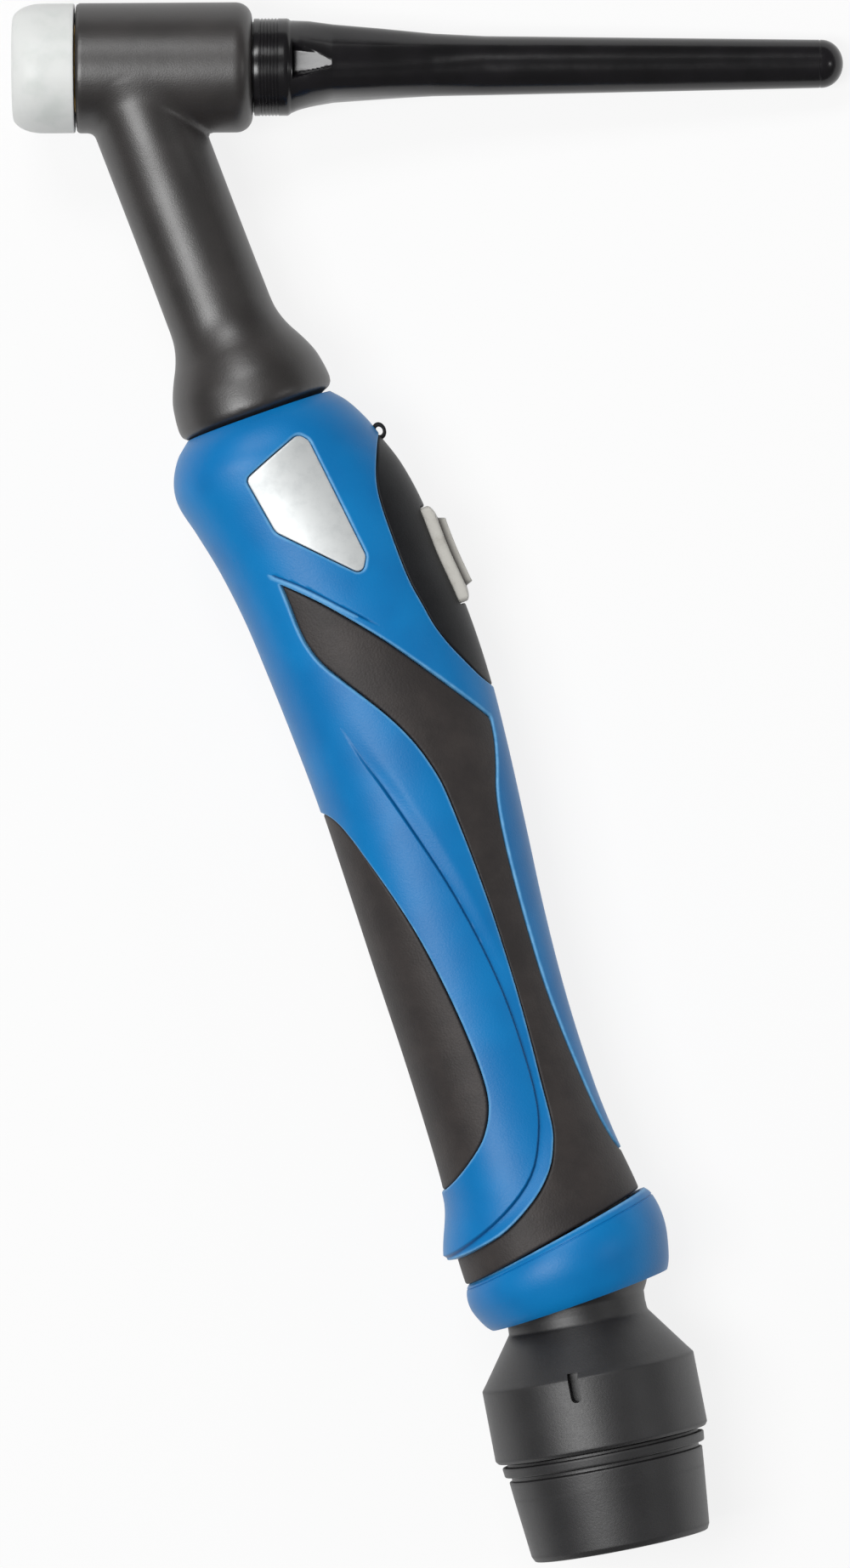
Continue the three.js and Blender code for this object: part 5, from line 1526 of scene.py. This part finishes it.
# %% [markdown]
# ## The switch module
# The module is a dark curved cover that closes the trigger side of the handle and carries the switch. It
# crosses the parting plane in one piece, so its half is mirrored and the two halves are welded along the
# middle. Its slot for the button has the same narrow gap all round.

# %% Piece: switch module
BUTTON_MIDDLE = 102.5
BUTTON_HALF = (9.3, 4.9)  # down and across
BUTTON_CORNER = 0.9
BUTTON_GAP = 0.22
MODULE_EDGE = 0.35
MODULE_RECESS = 0.12
MODULE_WALL = 2.4


def plate_distance(down, across, half, corner):
    """Positive inside a rectangle with round corners."""
    over_down = np.abs(down - BUTTON_MIDDLE) - half[0] + corner
    over_across = np.abs(across) - half[1] + corner
    outside_gap = np.hypot(np.maximum(over_down, 0), np.maximum(over_across, 0))
    return corner - outside_gap - np.minimum(np.maximum(over_down, over_across), 0)


def beside_button(points, normals):
    grown = [half + BUTTON_GAP for half in BUTTON_HALF]
    gap = -plate_distance(-points[:, 1], points[:, 2], grown, BUTTON_CORNER)
    return np.where(points[:, 0] > 0, gap, FAR_FROM_EDGE)


def make_module():
    field = spot_field(0, grown_by(in_module, -GAP), beside_button)
    spots, triangles = cut_skin(field, top=74, foot=131, step=0.8, count=96, radius=MODULE_EDGE)
    points, normals = skin_point(spots, 0), skin_normal(spots, 0)
    distance = field(spots)
    outer = points - normals * (MODULE_RECESS + quarter_drop(distance, MODULE_EDGE))[:, None]
    inner = points - normals * MODULE_WALL
    count = len(spots)
    on_middle = np.abs(points[:, 2]) < 1e-6
    outer[on_middle, 2] = inner[on_middle, 2] = 0.0
    twin = np.where(on_middle, np.arange(count), np.arange(count) + count)
    both = np.vstack([triangles, twin[triangles][:, ::-1]])
    flip = np.array([1, 1, -1])
    outer, inner = np.vstack([outer, outer * flip]), np.vstack([inner, inner * flip])
    kept, renumbered = np.unique(both, return_inverse=True)
    solid, faces = closed_solid(outer[kept], inner[kept], renumbered.reshape(both.shape))
    rim = np.tile(np.tile(np.maximum(distance, 0), 2)[kept], 2)
    return piece("module_cover", solid, faces, HANDLE, "torch", module_black, slot="soft_grip",
                 replaces=["switch_module"], rim=rim, sharp=60)


module_black = satin_black("module_black", dark=(17, 18, 21), light=(25, 26, 29), shine=0.25)
make_module()

# %% [markdown]
# ## The hook
# A small loop at the upper end of the module keeps the switch lead. It is turned like the big pieces, only
# round a line that runs across the handle, and stretched along the handle a little.

# %% Piece: hook
HOOK_DOWN = 77.3
HOOK_STRETCH = (1, 1.45, 1.15, 1)
hook_back = float(station_value(np.array([HOOK_DOWN]), 2)[0]) + 0.3
hook_centre = (HANDLE @ np.array([hook_back, -HOOK_DOWN, 0, 1]))[:3]
hook_corners = [(-1.2, 0.55, 0.15), (-1.2, 1.1, 0.25), (1.2, 1.1, 0.25), (1.2, 0.55, 0.15)]
hook_place = frame_of(seen_side, to_trigger, hook_centre) @ np.diag(HOOK_STRETCH)
turned("lead_hook", hook_corners, hook_place, "torch", module_black, slot="soft_grip", steps=40)

# %% [markdown]
# ## The trigger button
# One light grey moulding: a plate that follows the back of the handle and is rounded off at its two ends,
# and on it a raised bar for the finger, slightly hollow across. The foot of the bar gets painted shade.
# Drawn as a height over a flat net and split along the outlines of plate and bar.

# %% Piece: trigger button
BUTTON_EDGE = 0.6
BUTTON_BASE = 20.6  # how far its underside is from the handle's line
PLATE_HEIGHT = 1.35  # over the skin
PLATE_CROWN = 0.27
END_TAPER = 3.0
BAR_HALF = (6.7, 3.3)
BAR_CORNER = 1.1
BAR_HEIGHT = 1.3
BAR_FOOT = -0.05  # the bar starts to rise this far outside its outline
RIB_PITCH = 1.6


def in_plate(spots):
    return plate_distance(spots[:, 0], spots[:, 1], BUTTON_HALF, BUTTON_CORNER)


def in_bar(spots):
    return plate_distance(spots[:, 0], spots[:, 1], BAR_HALF, BAR_CORNER)


def button_height(spots):
    down, across = spots[:, 0], spots[:, 1]
    bar = in_bar(spots)
    crown = PLATE_CROWN * (across / BUTTON_HALF[1]) ** 2
    hollow = 0.18 * (1 - (across / BAR_HALF[1]) ** 2) * ease(bar, 0.6, 2.0)
    on_rib = np.cos((down - BUTTON_MIDDLE) * 2 * math.pi / RIB_PITCH) > 0.2
    near_end = np.clip((np.abs(down - BUTTON_MIDDLE) - BUTTON_HALF[0] + END_TAPER) / END_TAPER, 0, 1)
    taper = 1 - np.sqrt(1 - near_end ** 2)
    height = station_value(down, 2) + PLATE_HEIGHT - crown
    height -= np.maximum(quarter_drop(in_plate(spots), BUTTON_EDGE), taper)
    return height + BAR_HEIGHT * ease(bar, BAR_FOOT, 0.55) - hollow - 0.06 * on_rib * ease(bar, 0.9, 1.3)


def make_button():
    downs = np.linspace(BUTTON_MIDDLE - 9.6, BUTTON_MIDDLE + 9.6, 97)
    spots, triangles = plain_net(downs, np.linspace(-5.1, 5.1, 53))
    spots, triangles = split_levels(spots, triangles, in_plate, edge_levels(BUTTON_EDGE))
    spots, triangles = split_levels(spots, triangles, in_bar, (-0.4, BAR_FOOT, 0.1, 0.25, 0.4, 0.55))
    outer = np.stack([button_height(spots), -spots[:, 0], spots[:, 1]], axis=1)
    inner = np.stack([np.full(len(spots), BUTTON_BASE), -spots[:, 0], spots[:, 1]], axis=1)
    solid, faces = closed_solid(outer, inner, triangles)
    # distance to the foot of the bar, and half a millimetre more to the plate's edge, for the painted shade
    # there
    rim = np.minimum(np.maximum(in_plate(spots), 0) + 0.5, np.abs(in_bar(spots) - BAR_FOOT))
    return piece("finger_button", solid, faces, HANDLE, "button", grey, slot="grey_plastic",
                 replaces=["trigger_button"], rim=np.tile(rim, 2), sharp=60)


make_button()

# %% [markdown]
# ## The locking collar
# A blue ring that holds the ball joint to the handle's foot. Its top edge is cut at a slant that follows
# the swoosh, and its wall bulges. Each meridian of it is the same rounded outline, only shorter or longer.

# %% Piece: locking collar
COLLAR_BOTTOM = 238.8
COLLAR_WALL = np.array([  # share of the way down, radius
    (0.0, 17.9), (0.02, 18.15), (0.05, 18.5), (0.12, 18.9), (0.24, 19.27), (0.38, 19.4), (0.52, 19.25),
    (0.68, 18.75), (0.8, 18.25), (0.88, 17.85), (0.94, 17.45), (0.975, 17.15), (1.0, 16.9),
])
COLLAR_SHARES = np.concatenate([
    [0, 0.012, 0.03, 0.05, 0.075, 0.088, 0.095, 0.105, 0.112], np.linspace(0.14, 0.92, 20),
    [0.95, 0.965, 0.98, 0.992, 1.0],
])
COLLAR_LINE = 0.1  # a fine turned line this share of the way down
COLLAR_LINE_DEPTH = 0.14
COLLAR_LENGTH = 13.0  # about
COLLAR_RIM = 17.5
COLLAR_BORE = 16.9
COLLAR_FOOT_BORE = 16.35
SOCKET_RADIUS = 15.3
SOCKET_ROOM = 1.0


def collar_edge(radius, turn):
    """How far down the slanted top edge is at this radius and turn."""
    return COLLAR_TOP + COLLAR_CLEARANCE - radius * math.cos(turn) * COLLAR_SLANT


def make_collar(steps=144):
    on_line = np.abs(COLLAR_SHARES - COLLAR_LINE) < 0.006
    radii = smooth_curve(COLLAR_WALL, COLLAR_SHARES) - COLLAR_LINE_DEPTH * on_line
    points, rings = [], []
    for turn in np.linspace(0, 2 * math.pi, steps, endpoint=False):
        top, inner_top = collar_edge(COLLAR_RIM, turn), collar_edge(COLLAR_BORE, turn)
        outline = list(zip(radii, top + (COLLAR_BOTTOM - top) * COLLAR_SHARES))
        outline += [(COLLAR_FOOT_BORE + 0.25, COLLAR_BOTTOM), (COLLAR_FOOT_BORE, COLLAR_BOTTOM - 0.25)]
        for depth in (4.0, 2.7, 1.35, 0.0):
            outline.append((math.sqrt(SOCKET_RADIUS ** 2 - depth ** 2) + SOCKET_ROOM, BALL_DOWN + depth))
        outline += [(COLLAR_BORE, BALL_DOWN - 0.5), (COLLAR_BORE, inner_top + 0.3)]
        outline.append((COLLAR_BORE + 0.25, inner_top))
        rings.append(list(range(len(points), len(points) + len(outline))))
        points += [(BALL_BACK + r * math.cos(turn), -down, r * math.sin(turn)) for r, down in outline]
    edge = np.full(len(rings[0]), FAR_FROM_EDGE)
    # distance down from the top edge, by which the blue finish paints a pale highlight and wear along it
    edge[:len(COLLAR_SHARES)] = COLLAR_SHARES * COLLAR_LENGTH
    return piece("collar_ring", points, ring_faces(rings, True), HANDLE, "torch", blue, slot="blue_plastic",
                 replaces=["locking_collar"], rim=np.tile(edge, steps), sharp=40)


make_collar()

# %% [markdown]
# ## The pieces that stay
# The brass body, tubes, hose tails, clamp, switch and screws are hidden or barely seen, and their packed
# shapes are right. They only get their finishes.

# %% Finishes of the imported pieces
KEPT = {
    "torch_head_body": brass, "gas_hose_tail": brass, "water_inlet_hose_tail": brass,
    "power_return_hose_tail": brass, "switch_terminal_1": brass, "switch_terminal_2": brass,
    "gas_tube": copper, "water_inlet_tube": copper, "power_return_tube": copper,
    "tube_clamp": nylon, "microswitch_body": nylon, "microswitch_plunger": grey, "ball_seat_ring": grey,
    "back_cap_o_ring": ring_rubber,
}
kept = []
for name, node in frame["nodes"].items():
    finish = KEPT.get(name, steel if "screw" in name else None)
    if finish:
        node.data.materials.clear()
        node.data.materials.append(finish)
        kept.append(name)
print("kept:", sorted(kept))

# %% [markdown]
# ## Floor and light
# A product photograph is taken over a bright white sweep. Here it is a plain floor that mostly shines by
# itself, but only to the camera, in reflections and through clear things, which the Light Path node can
# tell. So the lamps can stay at a plain level, and the share that doesn't shine still keeps the torch's
# shadow.

# %% Floor
SWEEP_SHINE = 0.85  # share of the floor that shines by itself; the rest takes the shadows
FLOOR_HALF = 20.0  # metres
FLOOR_GAP = 0.0002  # metres under the lowest piece


def sweep_material():
    material = bpy.data.materials.new("sweep")
    material.use_nodes = True
    tree = material.node_tree
    shader = tree.nodes["Principled BSDF"]
    shader.inputs["Base Color"].default_value = (0.86, 0.86, 0.86, 1)
    shader.inputs["Roughness"].default_value = 0.9
    start = Signal(tree)
    glow = start.node("Emission", {}, {"Color": (1, 1, 1, 1), "Strength": 1.0})
    camera_ray, mirrored, through = (
        start.node("LightPath", output=f"Is {ray} Ray") for ray in ("Camera", "Glossy", "Transmission"))
    share = (camera_ray + mirrored + through) * SWEEP_SHINE
    mixed = start.node("MixShader", {}, {0: share, 1: Signal(tree, shader.outputs[0]), 2: glow})
    tree.links.new(mixed.socket, tree.nodes["Material Output"].inputs["Surface"])
    return material


def make_floor():
    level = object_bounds()[0][2] - FLOOR_GAP
    corners = [(x * FLOOR_HALF, y * FLOOR_HALF, level) for x, y in ((-1, -1), (1, -1), (1, 1), (-1, 1))]
    mesh = bpy.data.meshes.new("floor")
    mesh.from_pydata(corners, [], [(0, 1, 2, 3)])
    mesh.materials.append(sweep_material())
    floor = bpy.data.objects.new("floor", mesh)
    bpy.context.scene.collection.objects.link(floor)
    floor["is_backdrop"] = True
    return level


print("floor at", round(make_floor(), 4))

# %% [markdown]
# ## Lamps
# Lamps are placed in the camera's own directions, right, up and towards it, since that is how the
# highlights in the photograph are read. A big key lamp at the left draws the long soft ones along the left
# of every round form, a second one above lights the back cap, and a small one at the right gives a faint
# glint. They all aim at the middle of the torch.

# %% Lamps and world
LAMP_AIM = (60, -130)  # right and up from the elbow, in millimetres
SKY_STRENGTH = 0.14


def lamp(name, right, up, near, width, height, power):
    spot = (elbow + LAMP_AIM[0] * image_right + LAMP_AIM[1] * image_up) / 1000
    place = Vector(spot + right * image_right + up * image_up + near * seen_side)
    data = bpy.data.lights.new(name, "AREA")
    data.shape = "RECTANGLE"
    data.size, data.size_y = width, height
    data.energy = power
    made = bpy.data.objects.new(name, data)
    made.location = place
    made.rotation_euler = (Vector(spot) - place).to_track_quat("-Z", "Y").to_euler()
    bpy.context.scene.collection.objects.link(made)
    return made


lamps = [
    lamp("key", -0.64, -0.12, 1.55, 0.55, 0.9, 17.5),
    lamp("top", -0.45, 1.0, 1.3, 0.7, 0.4, 9),
    lamp("glint", 1.25, 0.05, 1.0, 0.25, 0.25, 1.4),
]
world = bpy.data.worlds.new("studio")
world.use_nodes = True
bpy.context.scene.world = world
sky = world.node_tree.nodes["Background"]
sky.inputs["Color"].default_value = (1.0, 1.0, 1.0, 1)
sky.inputs["Strength"].default_value = SKY_STRENGTH
bpy.context.scene.view_settings.view_transform = "Standard"
print("lamps:", [light.name for light in lamps])
